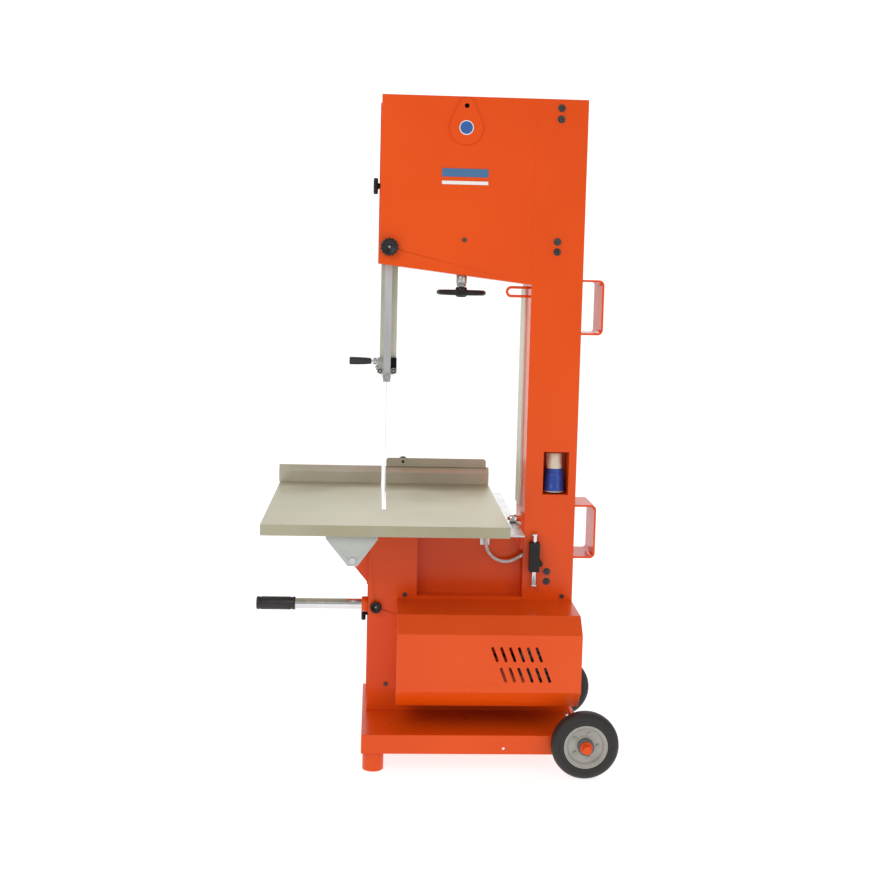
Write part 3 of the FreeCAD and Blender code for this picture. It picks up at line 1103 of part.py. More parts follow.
NODES = {
    "base_frame": lambda: base_frame() + axle_brackets(),
    "feet": lambda: feet() + foot_pads(),
    "axle": lambda: axle() + axle_caps(),
    "near_road_tyre": lambda: road_tyre(NEAR_WHEEL_Y),
    "near_road_rim": lambda: road_rim(NEAR_WHEEL_Y),
    "far_road_tyre": lambda: road_tyre(FAR_WHEEL_Y),
    "far_road_rim": lambda: road_rim(FAR_WHEEL_Y),
    "pedestal_housing": lambda: pedestal_housing() + handle_socket(),
    "column": lambda: column() + door_hinges(),
    "head_casing": head_casing,
    "lifting_plate": lifting_plate,
    "name_plates": name_plates,
    "casing_screws": lambda: column_screws() + casing_screws(),
    "return_guard": return_guard,
    "lower_door": lower_door,
    "upper_door": upper_door,
    "lower_latch_knob": lambda: latch_knob(PEDESTAL_LEFT, LOWER_LATCH_Z),
    "upper_latch_knob": lambda: latch_knob(HEAD_LEFT, UPPER_LATCH_Z),
    "motor_cover": motor_cover,
    "motor_body": lambda: motor_body() + fan_cowl() + motor_bracket(),
    "motor_rotor": motor_rotor,
    "drive_belt": drive_belt,
    "lower_shaft": lambda: lower_shaft() + driven_pulley(),
    "lower_bearing": lower_bearing,
    "lower_band_wheel": lambda: band_wheel_pieces(LOWER_WHEEL_Z, SHAFT_RADIUS),
    "upper_band_wheel": lambda: band_wheel_pieces(UPPER_WHEEL_Z, SHAFT_RADIUS + FIT),
    "blade": blade,
    "tension_carriage": lambda: tension_carriage() + upper_shaft() + disc_springs(),
    "head_guides": lambda: carriage_guides() + post_clamp_block() + tension_nut(),
    "tension_screw": lambda: tension_screw() + tension_handwheel(),
    "guide_post": guide_post,
    "post_shield": post_shield,
    "clamp_knob": clamp_knob,
    "guide_bracket": guide_bracket,
    "thrust_roller": thrust_roller,
    "left_roller": lambda: side_roller(-1),
    "right_roller": lambda: side_roller(1),
    "guide_handle": lambda: guide_handle() + guide_grip(),
    "table_plate": lambda: table_plate() + table_frame(),
    "table_runners": lambda: slide_shaft() + table_rail(),
    "slide_plates": slide_plates,
    "fence": fence,
    "stop_bar": stop_bar,
    "stop_knob": stop_knob,
    "bearing_blocks": bearing_blocks,
    "slide_supports": lambda: bearing_support() + rail_bracket(),
    "table_brake": table_brake,
    "upper_rail_roller": lambda: rail_roller(0),
    "lower_rail_roller": lambda: rail_roller(1),
    "handle_tube": lambda: handle_tube() + handle_grip(),
    "handle_knob": handle_knob,
    "hooks_and_loop": lambda: cable_hook(UPPER_HOOK_Z) + cable_hook(LOWER_HOOK_Z) + tool_loop(),
    "inlet_body": inlet_body,
    "inlet_collar": inlet_collar,
    "hose": hose,
    "hose_glands": hose_glands,
    "lock_rod": lock_rod,
    "switch_box": lambda: switch_box() + lock_body(),
    "start_button": lambda: switch_button(1),
    "stop_button": lambda: switch_button(-1),
}


def write_nodes():
    os.makedirs("parts", exist_ok=True)
    for name, make in NODES.items():
        pieces = make()
        shape = pieces[0] if len(pieces) == 1 else Part.makeCompound(pieces)
        shape.translate(-CENTRE)
        shape.exportStep(f"parts/{name}.step")


write_nodes()
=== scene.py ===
import bmesh
import bpy
import math
from mathutils import Matrix, Vector


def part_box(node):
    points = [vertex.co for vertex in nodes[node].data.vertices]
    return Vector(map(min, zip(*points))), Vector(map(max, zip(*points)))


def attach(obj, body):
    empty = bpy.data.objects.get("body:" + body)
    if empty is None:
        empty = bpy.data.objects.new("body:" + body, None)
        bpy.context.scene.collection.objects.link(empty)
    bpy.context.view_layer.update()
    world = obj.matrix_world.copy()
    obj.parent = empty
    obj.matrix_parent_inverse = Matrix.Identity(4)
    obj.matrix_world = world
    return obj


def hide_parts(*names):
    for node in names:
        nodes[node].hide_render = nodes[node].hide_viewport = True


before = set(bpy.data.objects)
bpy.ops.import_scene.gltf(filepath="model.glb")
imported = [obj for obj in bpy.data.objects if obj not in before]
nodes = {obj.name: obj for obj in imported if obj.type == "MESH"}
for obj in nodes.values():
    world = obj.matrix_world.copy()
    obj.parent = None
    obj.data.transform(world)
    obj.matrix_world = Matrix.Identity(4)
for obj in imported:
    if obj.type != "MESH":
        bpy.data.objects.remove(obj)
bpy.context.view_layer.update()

# --- camera, floor and light ----------------------------------------------------------------------
# A pale studio: the machine stands on a seamless light floor under broad soft lamps.
# The camera is at standing eye level on the motor side, turned a little down, with a slight roll.
scene = bpy.context.scene
scene.view_settings.view_transform = "Standard"

camera_data = bpy.data.cameras.new("camera")
camera_data.lens = 51.72
camera_data.shift_y = -0.0384
camera_data.clip_end = 60
camera = bpy.data.objects.new("camera", camera_data)
scene.collection.objects.link(camera)
right = Vector((0.9987, -0.0461, 0.0235))
up = Vector((-0.0187, 0.1007, 0.9947))
back = Vector((-0.0482, -0.9939, 0.0997))
turn = Matrix((right, up, back)).transposed()
camera.matrix_world = Matrix.Translation((-0.188, -3.861, 1.4323)) @ turn.to_4x4()
scene.camera = camera


def new_material(name, colour, roughness, metallic=0.0):
    """A Principled material on Object coordinates; returns it with its tree, shader and coordinates."""
    material = bpy.data.materials.new(name)
    material.use_nodes = True
    tree = material.node_tree
    shader = tree.nodes["Principled BSDF"]
    shader.inputs["Base Color"].default_value = (*colour, 1)
    shader.inputs["Roughness"].default_value = roughness
    shader.inputs["Metallic"].default_value = metallic
    coordinates = tree.nodes.new("ShaderNodeTexCoord").outputs["Object"]
    return material, tree, shader, coordinates


def noise(tree, coordinates, scale, detail=4.0, stretch=(1, 1, 1)):
    mapping = tree.nodes.new("ShaderNodeMapping")
    mapping.inputs["Scale"].default_value = stretch
    tree.links.new(coordinates, mapping.inputs["Vector"])
    texture = tree.nodes.new("ShaderNodeTexNoise")
    texture.inputs["Scale"].default_value = scale
    texture.inputs["Detail"].default_value = detail
    tree.links.new(mapping.outputs["Vector"], texture.inputs["Vector"])
    return texture.outputs["Fac"]


def ramp(tree, value, stops):
    node = tree.nodes.new("ShaderNodeValToRGB")
    elements = node.color_ramp.elements
    while len(elements) < len(stops):
        elements.new(0.5)
    for element, (place, colour) in zip(elements, stops):
        element.position = place
        element.color = (*colour, 1)
    tree.links.new(value, node.inputs["Fac"])
    return node.outputs["Color"]


def spread(tree, value, low, high):
    """Maps a noise value, which stays near a half, onto low..high."""
    node = tree.nodes.new("ShaderNodeMapRange")
    node.inputs["From Min"].default_value = 0.3
    node.inputs["From Max"].default_value = 0.7
    node.inputs["To Min"].default_value = low
    node.inputs["To Max"].default_value = high
    tree.links.new(value, node.inputs["Value"])
    return node.outputs["Result"]


def bump(tree, shader, height, strength, distance):
    node = tree.nodes.new("ShaderNodeBump")
    node.inputs["Strength"].default_value = strength
    node.inputs["Distance"].default_value = distance
    tree.links.new(height, node.inputs["Height"])
    tree.links.new(node.outputs["Normal"], shader.inputs["Normal"])


def mixed(name, dark, light, rough, scale, bump_scale, bump_depth, metallic=0.0, stretch=(1, 1, 1)):
    """Colour wanders between dark and light, gloss with it, and a finer grain lifts the surface."""
    material, tree, shader, coordinates = new_material(name, light, rough[0], metallic)
    wander = noise(tree, coordinates, scale, stretch=stretch)
    tree.links.new(ramp(tree, wander, [(0.3, dark), (0.7, light)]), shader.inputs["Base Color"])
    tree.links.new(spread(tree, wander, *rough), shader.inputs["Roughness"])
    bump(tree, shader, noise(tree, coordinates, bump_scale, stretch=stretch), 0.35, bump_depth)
    return material


def wear(object_, material):
    object_.data.materials.clear()
    object_.data.materials.append(material)


def sweep_up(name, depth, height, width):
    """Seamless paper: flat floor, a large bend behind the machine, then a wall."""
    bend, steps = 3.0, 16
    profile = [(-depth, 0.0), (depth - bend, 0.0)]
    for step in range(1, steps + 1):
        turn = math.pi / 2 * step / steps
        profile.append((depth - bend + bend * math.sin(turn), bend - bend * math.cos(turn)))
    profile.append((depth, height))
    verts = [(side * width, y, z) for y, z in profile for side in (-1, 1)]
    faces = [(2 * i, 2 * i + 1, 2 * i + 3, 2 * i + 2) for i in range(len(profile) - 1)]
    mesh = bpy.data.meshes.new(name)
    mesh.from_pydata(verts, [], faces)
    for face in mesh.polygons:
        face.use_smooth = True
    paper = bpy.data.objects.new(name, mesh)
    scene.collection.objects.link(paper)
    return paper


paper_material = mixed("studio_paper", (0.40, 0.40, 0.40), (0.43, 0.43, 0.43), (0.7, 0.8), 2, 60, 0.0002)
paper_tree = paper_material.node_tree
paper_shader = paper_tree.nodes["Principled BSDF"]
paper_shader.inputs["Emission Color"].default_value = (1, 1, 1, 1)
paper_shader.inputs["Emission Strength"].default_value = 0.80
paper = sweep_up("paper", 8.0, 9.0, 12.0)
wear(paper, paper_material)

world = bpy.data.worlds.new("studio")
world.use_nodes = True
world.node_tree.nodes["Background"].inputs["Color"].default_value = (1, 1, 1, 1)
light_path = world.node_tree.nodes.new("ShaderNodeLightPath")
# The surroundings are white to the eye but dimmer as a lamp.
strength = world.node_tree.nodes.new("ShaderNodeMapRange")
strength.inputs["To Min"].default_value = 0.45
strength.inputs["To Max"].default_value = 1.0
world.node_tree.links.new(light_path.outputs["Is Camera Ray"], strength.inputs["Value"])
world.node_tree.links.new(strength.outputs["Result"],
                          world.node_tree.nodes["Background"].inputs["Strength"])
scene.world = world


def soft_lamp(name, place, target, size, power):
    data = bpy.data.lights.new(name, "AREA")
    data.size = size
    data.energy = power
    lamp = bpy.data.objects.new(name, data)
    scene.collection.objects.link(lamp)
    lamp.location = place
    lamp.rotation_euler = (Vector(target) - Vector(place)).to_track_quat("-Z", "Y").to_euler()


soft_lamp("key", (-2.2, -3.6, 3.4), (0, 0, 1.2), 2.4, 62)
soft_lamp("fill", (3.0, -3.2, 2.4), (0, 0, 0.9), 2.6, 26)
soft_lamp("rear", (0.5, 3.6, 3.6), (0, 0, 1.0), 2.6, 40)

# --- cooling water hose ---------------------------------------------------------------------------
# A short smooth hose in pale grey plastic that hangs in one loop between two glands.
# It leaves the gland under the table and goes into the gland in the column's side.
middle_x, middle_y = 0.188, 0.387      # from the layout's zero to the middle of the machine
hose_points = [
    (0.344, 0.252, 0.648),
    (0.346, 0.254, 0.615),
    (0.364, 0.256, 0.587),
    (0.3935, 0.255, 0.572),
    (0.4265, 0.253, 0.5735),
    (0.4515, 0.252, 0.590),
]
hose_radius = 0.005


def nurbs_line(name, points, bevel):
    data = bpy.data.curves.new(name, "CURVE")
    data.dimensions = "3D"
    data.bevel_depth = bevel
    data.bevel_resolution = 6
    data.resolution_u = 24
    spline = data.splines.new("NURBS")
    spline.points.add(len(points) - 1)
    for point, (x, y, z) in zip(spline.points, points):
        point.co = (x - middle_x, y - middle_y, z, 1)
    spline.order_u = 3
    spline.use_endpoint_u = True
    line = bpy.data.objects.new(name, data)
    scene.collection.objects.link(line)
    return line


def hose_material():
    """Pale grey plastic, faintly mottled and slightly rough."""
    material, tree, shader, coordinates = new_material("hose_plastic", (0.62, 0.62, 0.59), 0.45)
    fine = noise(tree, coordinates, 90)
    tree.links.new(ramp(tree, fine, [(0.3, (0.52, 0.52, 0.50)), (0.7, (0.68, 0.68, 0.66))]),
                   shader.inputs["Base Color"])
    tree.links.new(spread(tree, fine, 0.38, 0.52), shader.inputs["Roughness"])
    bump(tree, shader, noise(tree, coordinates, 400), 0.3, 0.0004)
    return material


hose_line = nurbs_line("hose_line", hose_points, hose_radius)
hose_line.data.materials.append(hose_material())
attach(hose_line, "frame")
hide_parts("hose")

# --- painted casings ------------------------------------------------------------------------------
# Pedestal, column, head, doors, cover and brackets are folded sheet steel with gloss orange enamel.
# The enamel has a faint orange-peel surface, and wanders a little in tone from sheet to sheet.


def enamel(name, dark, light):
    material, tree, shader, coordinates = new_material(name, light, 0.28)
    shader.inputs["Specular IOR Level"].default_value = 0.25
    cloud = noise(tree, coordinates, 2.2, 2)
    tree.links.new(ramp(tree, cloud, [(0.35, dark), (0.65, light)]), shader.inputs["Base Color"])
    tree.links.new(spread(tree, noise(tree, coordinates, 14), 0.27, 0.33), shader.inputs["Roughness"])
    shader.inputs["Coat Weight"].default_value = 0.15
    shader.inputs["Coat Roughness"].default_value = 0.12
    bump(tree, shader, noise(tree, coordinates, 260, 2), 0.08, 0.0002)
    return material


orange = enamel("orange_enamel", (0.76, 0.072, 0.002), (0.82, 0.086, 0.003))


def soften(name, width, segments=2):
    """Rounds the hard edges of a piece as a fold or a filed edge does."""
    piece = nodes[name]
    weld = piece.modifiers.new("weld", "WELD")
    weld.merge_threshold = 0.00002
    bevel = piece.modifiers.new("edges", "BEVEL")
    bevel.width = width
    bevel.segments = segments
    bevel.limit_method = "ANGLE"
    bevel.angle_limit = math.radians(35)
    bevel.harden_normals = True


for name, width in (("pedestal_housing", 0.0012), ("column", 0.0012), ("head_casing", 0.0012),
                    ("lower_door", 0.001), ("upper_door", 0.001), ("motor_cover", 0.001),
                    ("base_frame", 0.0015), ("feet", 0.001), ("slide_supports", 0.001),
                    ("hooks_and_loop", 0.0012), ("lifting_plate", 0.0014), ("axle", 0.0012)):
    wear(nodes[name], orange)
    soften(name, width)

# --- sliding table, fence and stop bar ------------------------------------------------------------
# Folded steel plate with a yellow-green passivated zinc finish, brushed along its length.
# The fence is the same sheet; its loose stop bar is a little lighter.
zinc = mixed("zinc_plate", (0.35, 0.325, 0.21), (0.46, 0.43, 0.31), (0.30, 0.46), 3.5, 500, 0.0002,
             metallic=0.45)
light_zinc = mixed("light_zinc", (0.50, 0.47, 0.36), (0.62, 0.59, 0.48), (0.34, 0.48), 6, 500, 0.0002,
                   metallic=0.35)
for name, material in (("table_plate", zinc), ("fence", light_zinc)):
    wear(nodes[name], material)
    soften(name, 0.0012)
wear(nodes["stop_bar"], light_zinc)
soften("stop_bar", 0.0008)

# --- bright steel ---------------------------------------------------------------------------------
# Shafts, rails, rollers and the guide post are ground or drawn steel, bright with fine lines.
# The plated pieces, such as the pull tube and the rollers, are nearly mirror bright.
steel = mixed("drawn_steel", (0.50, 0.50, 0.50), (0.68, 0.68, 0.67), (0.24, 0.38), 12, 700, 0.0001,
              metallic=1.0, stretch=(1, 1, 0.15))
plated = mixed("plated_steel", (0.66, 0.66, 0.67), (0.80, 0.80, 0.80), (0.08, 0.16), 9, 500, 0.00005,
               metallic=1.0)
for name in ("motor_rotor", "lower_shaft", "guide_post", "table_runners", "bearing_blocks",
             "head_guides", "tension_carriage", "hose_glands"):
    wear(nodes[name], steel)
    soften(name, 0.0008)
for name in ("thrust_roller", "left_roller", "right_roller", "upper_rail_roller",
             "lower_rail_roller", "table_brake", "lock_rod"):
    wear(nodes[name], plated)
    soften(name, 0.0008)
shield_zinc = mixed("shield_zinc", (0.52, 0.51, 0.41), (0.66, 0.64, 0.53), (0.28, 0.42), 5, 500,
                    0.0001, metallic=0.7)
wear(nodes["post_shield"], shield_zinc)
soften("post_shield", 0.0006)

# --- grey and cast pieces -------------------------------------------------------------------------
# The slide's end plates are light grey enamel; the band wheels and the bearing are rough castings.
# The motor case is dark grey enamel over cast fins.
grey_paint = mixed("grey_enamel", (0.44, 0.46, 0.43), (0.52, 0.54, 0.50), (0.32, 0.44), 4, 300, 0.0002)
cast = mixed("cast_iron", (0.16, 0.16, 0.17), (0.25, 0.25, 0.26), (0.5, 0.65), 12, 180, 0.0008,
             metallic=0.6)
motor_paint = mixed("motor_enamel", (0.05, 0.055, 0.06), (0.085, 0.09, 0.10), (0.38, 0.5), 6, 200, 0.0004)
wear(nodes["slide_plates"], grey_paint)
soften("slide_plates", 0.0012)
for name in ("lower_bearing", "lower_band_wheel", "upper_band_wheel"):
    wear(nodes[name], cast)
    soften(name, 0.0012)
wear(nodes["motor_body"], motor_paint)

# --- blade, belt and guard strip ------------------------------------------------------------------
# The blade is thin bright steel; the belt is black rubber; the strip beside the returning blade is
# pale painted sheet.
blade_steel = mixed("blade_steel", (0.46, 0.46, 0.47), (0.62, 0.62, 0.63), (0.25, 0.4), 20, 600, 0.0001,
                    metallic=0.9)
rubber = mixed("black_rubber", (0.012, 0.012, 0.012), (0.028, 0.028, 0.028), (0.55, 0.75), 30, 320, 0.0006)
pale_paint = mixed("pale_enamel", (0.66, 0.63, 0.50), (0.76, 0.73, 0.60), (0.35, 0.45), 3, 300, 0.0002)
wear(nodes["blade"], blade_steel)
wear(nodes["drive_belt"], rubber)
wear(nodes["return_guard"], pale_paint)

# --- black plastic ---------------------------------------------------------------------------------
# Knobs, grips, the tension handwheel and the switch case are black moulded plastic, slightly glossy.
black_plastic = mixed("black_plastic", (0.010, 0.010, 0.011), (0.022, 0.022, 0.023), (0.28, 0.42), 24,
                      420, 0.0003)
for dull in (black_plastic, rubber):
    dull.node_tree.nodes["Principled BSDF"].inputs["Specular IOR Level"].default_value = 0.25

# --- road wheels ----------------------------------------------------------------------------------
# Solid rubber tyres on pressed steel rims in warm grey enamel, with a dark hub welded through.
# Five hexagon bolts on washers sit round the hub; the rim's edge is rolled over outwards.


def turned(name, profile, axis, centre, material, closed=False, flutes=0, steps=96):
    """Turns (radius, distance[, flute depth]) points round an axis through centre into a closed mesh."""
    rings = []
    shape = bmesh.new()
    for point in profile:
        radius, along = point[0], point[1]
        depth = point[2] if len(point) > 2 else 0.0
        if radius < 1e-6:
            rings.append([shape.verts.new((0, 0, along))])
            continue
        ring = []
        for step in range(steps):
            angle = 2 * math.pi * step / steps
            scallop = (0.5 + 0.5 * math.cos(flutes * angle)) ** 2 if depth else 0.0
            reach = radius - depth * scallop
            ring.append(shape.verts.new((reach * math.cos(angle), reach * math.sin(angle), along)))
        rings.append(ring)
    if closed:
        rings.append(rings[0])
    for low, high in zip(rings, rings[1:]):
        for step in range(steps):
            after = (step + 1) % steps
            if len(low) == len(high) == 1:
                break
            if len(low) == 1:
                shape.faces.new((low[0], high[after], high[step]))
            elif len(high) == 1:
                shape.faces.new((low[step], low[after], high[0]))
            else:
                shape.faces.new((low[step], low[after], high[after], high[step]))
    bmesh.ops.recalc_face_normals(shape, faces=shape.faces)
    mesh = bpy.data.meshes.new(name)
    shape.to_mesh(mesh)
    shape.free()
    return placed(name, mesh, axis, centre, material)


def placed(name, mesh, axis, centre, material):
    """Lays a mesh made along Z onto its axis and centre, with the place in the mesh itself."""
    lay = {"X": Matrix.Rotation(math.pi / 2, 4, "Y"), "Y": Matrix.Rotation(-math.pi / 2, 4, "X"),
           "Z": Matrix.Identity(4)}[axis]
    mesh.transform(Matrix.Translation(centre) @ lay)
    for face in mesh.polygons:
        face.use_smooth = True
    mesh.set_sharp_from_angle(angle=math.radians(32))
    mesh.materials.clear()
    mesh.materials.append(material)
    piece = bpy.data.objects.new(name, mesh)
    scene.collection.objects.link(piece)
    return piece


def studs_tree(name, material):
    """Rods set in a circle and parallel to its axis: bolts, pins, ribs and knurls."""
    tree = bpy.data.node_groups.new(name, "GeometryNodeTree")
    tree.is_modifier = True
    for label, kind in (("Count", "NodeSocketInt"), ("Reach", "NodeSocketFloat"),
                        ("Radius", "NodeSocketFloat"), ("Length", "NodeSocketFloat"),
                        ("Sides", "NodeSocketInt")):
        tree.interface.new_socket(label, in_out="INPUT", socket_type=kind)
    tree.interface.new_socket("Geometry", in_out="OUTPUT", socket_type="NodeSocketGeometry")
    given = tree.nodes.new("NodeGroupInput")
    result = tree.nodes.new("NodeGroupOutput")
    circle = tree.nodes.new("GeometryNodeMeshCircle")
    stud = tree.nodes.new("GeometryNodeMeshCylinder")
    spread_out = tree.nodes.new("GeometryNodeInstanceOnPoints")
    realize = tree.nodes.new("GeometryNodeRealizeInstances")
    paint = tree.nodes.new("GeometryNodeSetMaterial")
    paint.inputs["Material"].default_value = material
    link = tree.links.new
    link(given.outputs["Count"], circle.inputs["Vertices"])
    link(given.outputs["Reach"], circle.inputs["Radius"])
    link(given.outputs["Sides"], stud.inputs["Vertices"])
    link(given.outputs["Radius"], stud.inputs["Radius"])
    link(given.outputs["Length"], stud.inputs["Depth"])
    link(circle.outputs["Mesh"], spread_out.inputs["Points"])
    link(stud.outputs["Mesh"], spread_out.inputs["Instance"])
    link(spread_out.outputs["Instances"], realize.inputs["Geometry"])
    link(realize.outputs["Geometry"], paint.inputs["Geometry"])
    link(paint.outputs["Geometry"], result.inputs["Geometry"])
    return tree


def grown(name, tree, values, axis, centre, material):
    """Runs a node tree once with its named inputs and keeps the plain mesh that it makes."""
    seed = bpy.data.objects.new(name + "_seed", bpy.data.meshes.new(name + "_seed"))
    scene.collection.objects.link(seed)
    modifier = seed.modifiers.new("make", "NODES")
    modifier.node_group = tree
    for item in tree.interface.items_tree:
        if item.in_out == "INPUT" and item.name in values:
            modifier[item.identifier] = values[item.name]
    ready = seed.evaluated_get(bpy.context.evaluated_depsgraph_get())
    mesh = bpy.data.meshes.new_from_object(ready)
    bpy.data.objects.remove(seed)
    return placed(name, mesh, axis, centre, material)


def join_in(piece, body, slot, *replaced):
    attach(piece, body)
    for node in replaced:
        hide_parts(node)
    return piece


def middle_of(node):
    low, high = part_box(node)
    return [(a + b) / 2 for a, b in zip(low, high)]


rim_paint = mixed("rim_enamel", (0.36, 0.35, 0.31), (0.46, 0.45, 0.41), (0.30, 0.42), 8, 300, 0.0002)
hub_paint = mixed("hub_enamel", (0.10, 0.10, 0.10), (0.16, 0.16, 0.155), (0.35, 0.5), 18, 300, 0.0003)
tyre_rubber = mixed("tyre_rubber", (0.014, 0.012, 0.011), (0.026, 0.024, 0.022), (0.52, 0.68), 30, 320,
                    0.0005)
bolt_steel = mixed("bolt_steel", (0.30, 0.29, 0.27), (0.44, 0.43, 0.40), (0.28, 0.42), 30, 400, 0.0002,
                   metallic=0.7)
wheel_bolts = studs_tree("wheel_bolts", bolt_steel)
tyre_outer, tyre_half, rim_outer = 0.098, 0.024, 0.063
tyre_section = [(rim_outer, -0.021), (0.068, -0.0235), (0.076, -tyre_half), (0.0768, -0.0234),
                (0.0776, -tyre_half), (0.086, -0.0232), (0.0868, -0.0226), (0.0876, -0.0228),
                (0.093, -0.0185), (0.0968, -0.012), (tyre_outer, -0.0045)]
tyre_section += [(radius, -along) for radius, along in reversed(tyre_section)]
rim_section = [(0.0628, 0.0205), (0.0635, 0.0222), (0.062, 0.0236), (0.0598, 0.0228), (0.0585, 0.020),
               (0.055, 0.0185), (0.0515, 0.013), (0.0495, 0.0095), (0.0465, 0.0085), (0.026, 0.0085),
               (0.0245, 0.0095), (0.0225, 0.0095), (0.0225, 0.0045), (0.050, 0.0045), (0.0575, 0.016),
               (0.0575, -0.0205), (0.060, -0.0225), (0.0628, -0.0205)]
hub_section = [(0.0102, -0.0268), (0.0225, -0.0268), (0.0238, -0.0255), (0.0238, 0.0255),
               (0.0225, 0.0268), (0.0102, 0.0268)]
bolt_circle = {"Count": 5, "Reach": 0.0365}
bolt_sizes = {"Radius": 0.0052, "Length": 0.004, "Sides": 6}
washer_sizes = {"Radius": 0.0068, "Length": 0.0012, "Sides": 24}
bolt_face, washer_face = 0.0103, 0.0090         # from the wheel's middle plane
for side, outward in (("near", -1), ("far", 1)):
    x, y, z = middle_of(f"{side}_road_tyre")
    body = f"{side}_wheel"
    tyre = turned(f"{side}_tyre", tyre_section, "Y", (x, y, z), tyre_rubber, closed=True)
    join_in(tyre, body, "tyre_rubber", f"{side}_road_tyre")
    rim = turned(f"{side}_rim", [(radius, outward * along) for radius, along in rim_section], "Y",
                 (x, y, z), rim_paint, closed=True)
    join_in(rim, body, "rim_paint", f"{side}_road_rim")
    hub = turned(f"{side}_hub", hub_section, "Y", (x, y, z), hub_paint, closed=True)
    join_in(hub, body, "motor_grey")
    for label, sizes, face in (("bolts", bolt_sizes, bolt_face), ("washers", washer_sizes, washer_face)):
        ring = grown(f"{side}_{label}", wheel_bolts, {**bolt_circle, **sizes}, "Y",
                     (x, y + outward * face, z), bolt_steel)
        join_in(ring, body, "rim_paint")

# --- pull handle ----------------------------------------------------------------------------------
# A bright plated tube slides in the pedestal's socket; its lobed knob clamps it.
# The grip is black moulded rubber, a little barrel-shaped, with a collar at each end and fine ribs.
grip_black = mixed("grip_black", (0.010, 0.009, 0.009), (0.022, 0.020, 0.019), (0.34, 0.5), 24, 420, 0.0003)
low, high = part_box("handle_tube")
_, y, z = middle_of("handle_tube")
tube_section = [(0.016, low[0] + 0.010), (0.016, high[0] - 0.0006), (0.0154, high[0]), (0.013, high[0]),
                (0.013, low[0] + 0.010)]
pull_tube = turned("pull_tube", tube_section, "X", (0, y, z), plated, closed=True)
join_in(pull_tube, "pull_handle", "bright_steel", "handle_tube")
grip_length = 0.117
start, end = low[0], low[0] + grip_length
grip_section = [(0, start), (0.0170, start), (0.0192, start + 0.0015), (0.0199, start + 0.004),
                (0.0197, start + 0.008), (0.0188, start + 0.010), (0.0192, start + 0.035),
                (0.0194, start + 0.058), (0.0192, start + 0.082), (0.0186, end - 0.009),
                (0.0196, end - 0.007), (0.0198, end - 0.002), (0.0190, end), (0.0158, end),
                (0, end - 0.001)]
pull_grip = turned("pull_grip", grip_section, "X", (0, y, z), grip_black)
join_in(pull_grip, "pull_handle", "black_plastic")
grip_ribs = studs_tree("grip_ribs", grip_black)
ribs = grown("pull_grip_ribs", grip_ribs,
             {"Count": 20, "Reach": 0.0188, "Radius": 0.0009, "Length": 0.088, "Sides": 8}, "X",
             ((start + end) / 2, y, z), grip_black)
join_in(ribs, "pull_handle", "black_plastic")

# --- hand knobs -----------------------------------------------------------------------------------
# Black moulded knobs with a scalloped edge and a dished face that shows the end of the stud.
# Two clamp the doors, the others the guide post, the pull handle and the stop bar.
stud_steel = mixed("stud_steel", (0.22, 0.21, 0.20), (0.36, 0.35, 0.33), (0.3, 0.45), 30, 400, 0.0001,
                   metallic=0.8)


def hand_knob(node, body, axis, outward, radius, thickness, centre):
    """outward is the sign of the free face along the axis; centre is the middle of the knob's disc."""
    half, flute = thickness / 2, radius * 0.13
    section = [(0, -half * 0.2), (radius * 0.20, -half * 0.2), (radius * 0.30, half * 0.45),
               (radius * 0.55, half * 0.80), (radius * 0.80, half, flute * 0.5),
               (radius * 0.95, half * 0.8, flute), (radius, half * 0.5, flute),
               (radius, -half * 0.5, flute), (radius * 0.95, -half * 0.85, flute),
               (radius * 0.85, -half, flute * 0.5), (radius * 0.42, -half), (radius * 0.36, -half - 0.0015),
               (radius * 0.36, -half - 0.0065), (0, -half - 0.0065)]
    section = [(point[0], outward * point[1], *point[2:]) for point in section]
    knob = turned(node + "_head", section, axis, centre, black_plastic, flutes=14, steps=168)
    join_in(knob, body, "black_plastic", node)
    pin = [(0, 0.0), (radius * 0.10, 0.0), (radius * 0.17, -half * 0.02), (radius * 0.17, -half * 0.5),
           (0, -half * 0.5)]
    pin = [(reach, outward * along) for reach, along in pin]
    stud = turned(node + "_pin", pin, axis, centre, stud_steel, steps=24)
    join_in(stud, body, "bright_steel")


def knob_centre(node, axis, outward, thickness):
    """The knob's disc is at the free end of its node."""
    low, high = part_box(node)
    centre = middle_of(node)
    centre[axis] = (low[axis] + thickness / 2) if outward < 0 else (high[axis] - thickness / 2)
    return centre


for node, body, letter, outward, radius, thickness in (
        ("lower_latch_knob", "lower_latch", "X", -1, 0.025, 0.014),
        ("upper_latch_knob", "upper_latch", "X", -1, 0.025, 0.014),
        ("clamp_knob", "guide_clamp", "Y", -1, 0.027, 0.016),
        ("handle_knob", "pull_handle_clamp", "Y", -1, 0.018, 0.013),
        ("stop_knob", "stop_clamp", "Y", 1, 0.018, 0.012)):
    hand_knob(node, body, letter, outward, radius, thickness,
              knob_centre(node, "XYZ".index(letter), outward, thickness))

# --- tension handwheel ----------------------------------------------------------------------------
# A steel screw through a plated nut, turned by a black moulded wheel with a dished five-spoke web.
# The stack of disc springs above it stays with the carriage.
screw_low, screw_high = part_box("tension_screw")
x, y, _ = middle_of("tension_screw")
wheel_z, ring_reach, ring_radius = screw_low[2] + 0.014, 0.066, 0.0078
ring_angles = [math.pi * k / 8 for k in range(16)]
ring_section = [(ring_reach + ring_radius * math.cos(angle), ring_radius * math.sin(angle))
                for angle in ring_angles]
wheel_ring = turned("handwheel_ring", ring_section, "Z", (x, y, wheel_z), black_plastic, closed=True)
join_in(wheel_ring, "tension_wheel", "black_plastic", "tension_screw")
hub_section = [(0, -0.0135), (0.012, -0.0135), (0.0165, -0.010), (0.0183, -0.004), (0.0185, 0.006),
               (0.0165, 0.0145), (0.014, 0.0165), (0.0078, 0.0168), (0, 0.0168)]
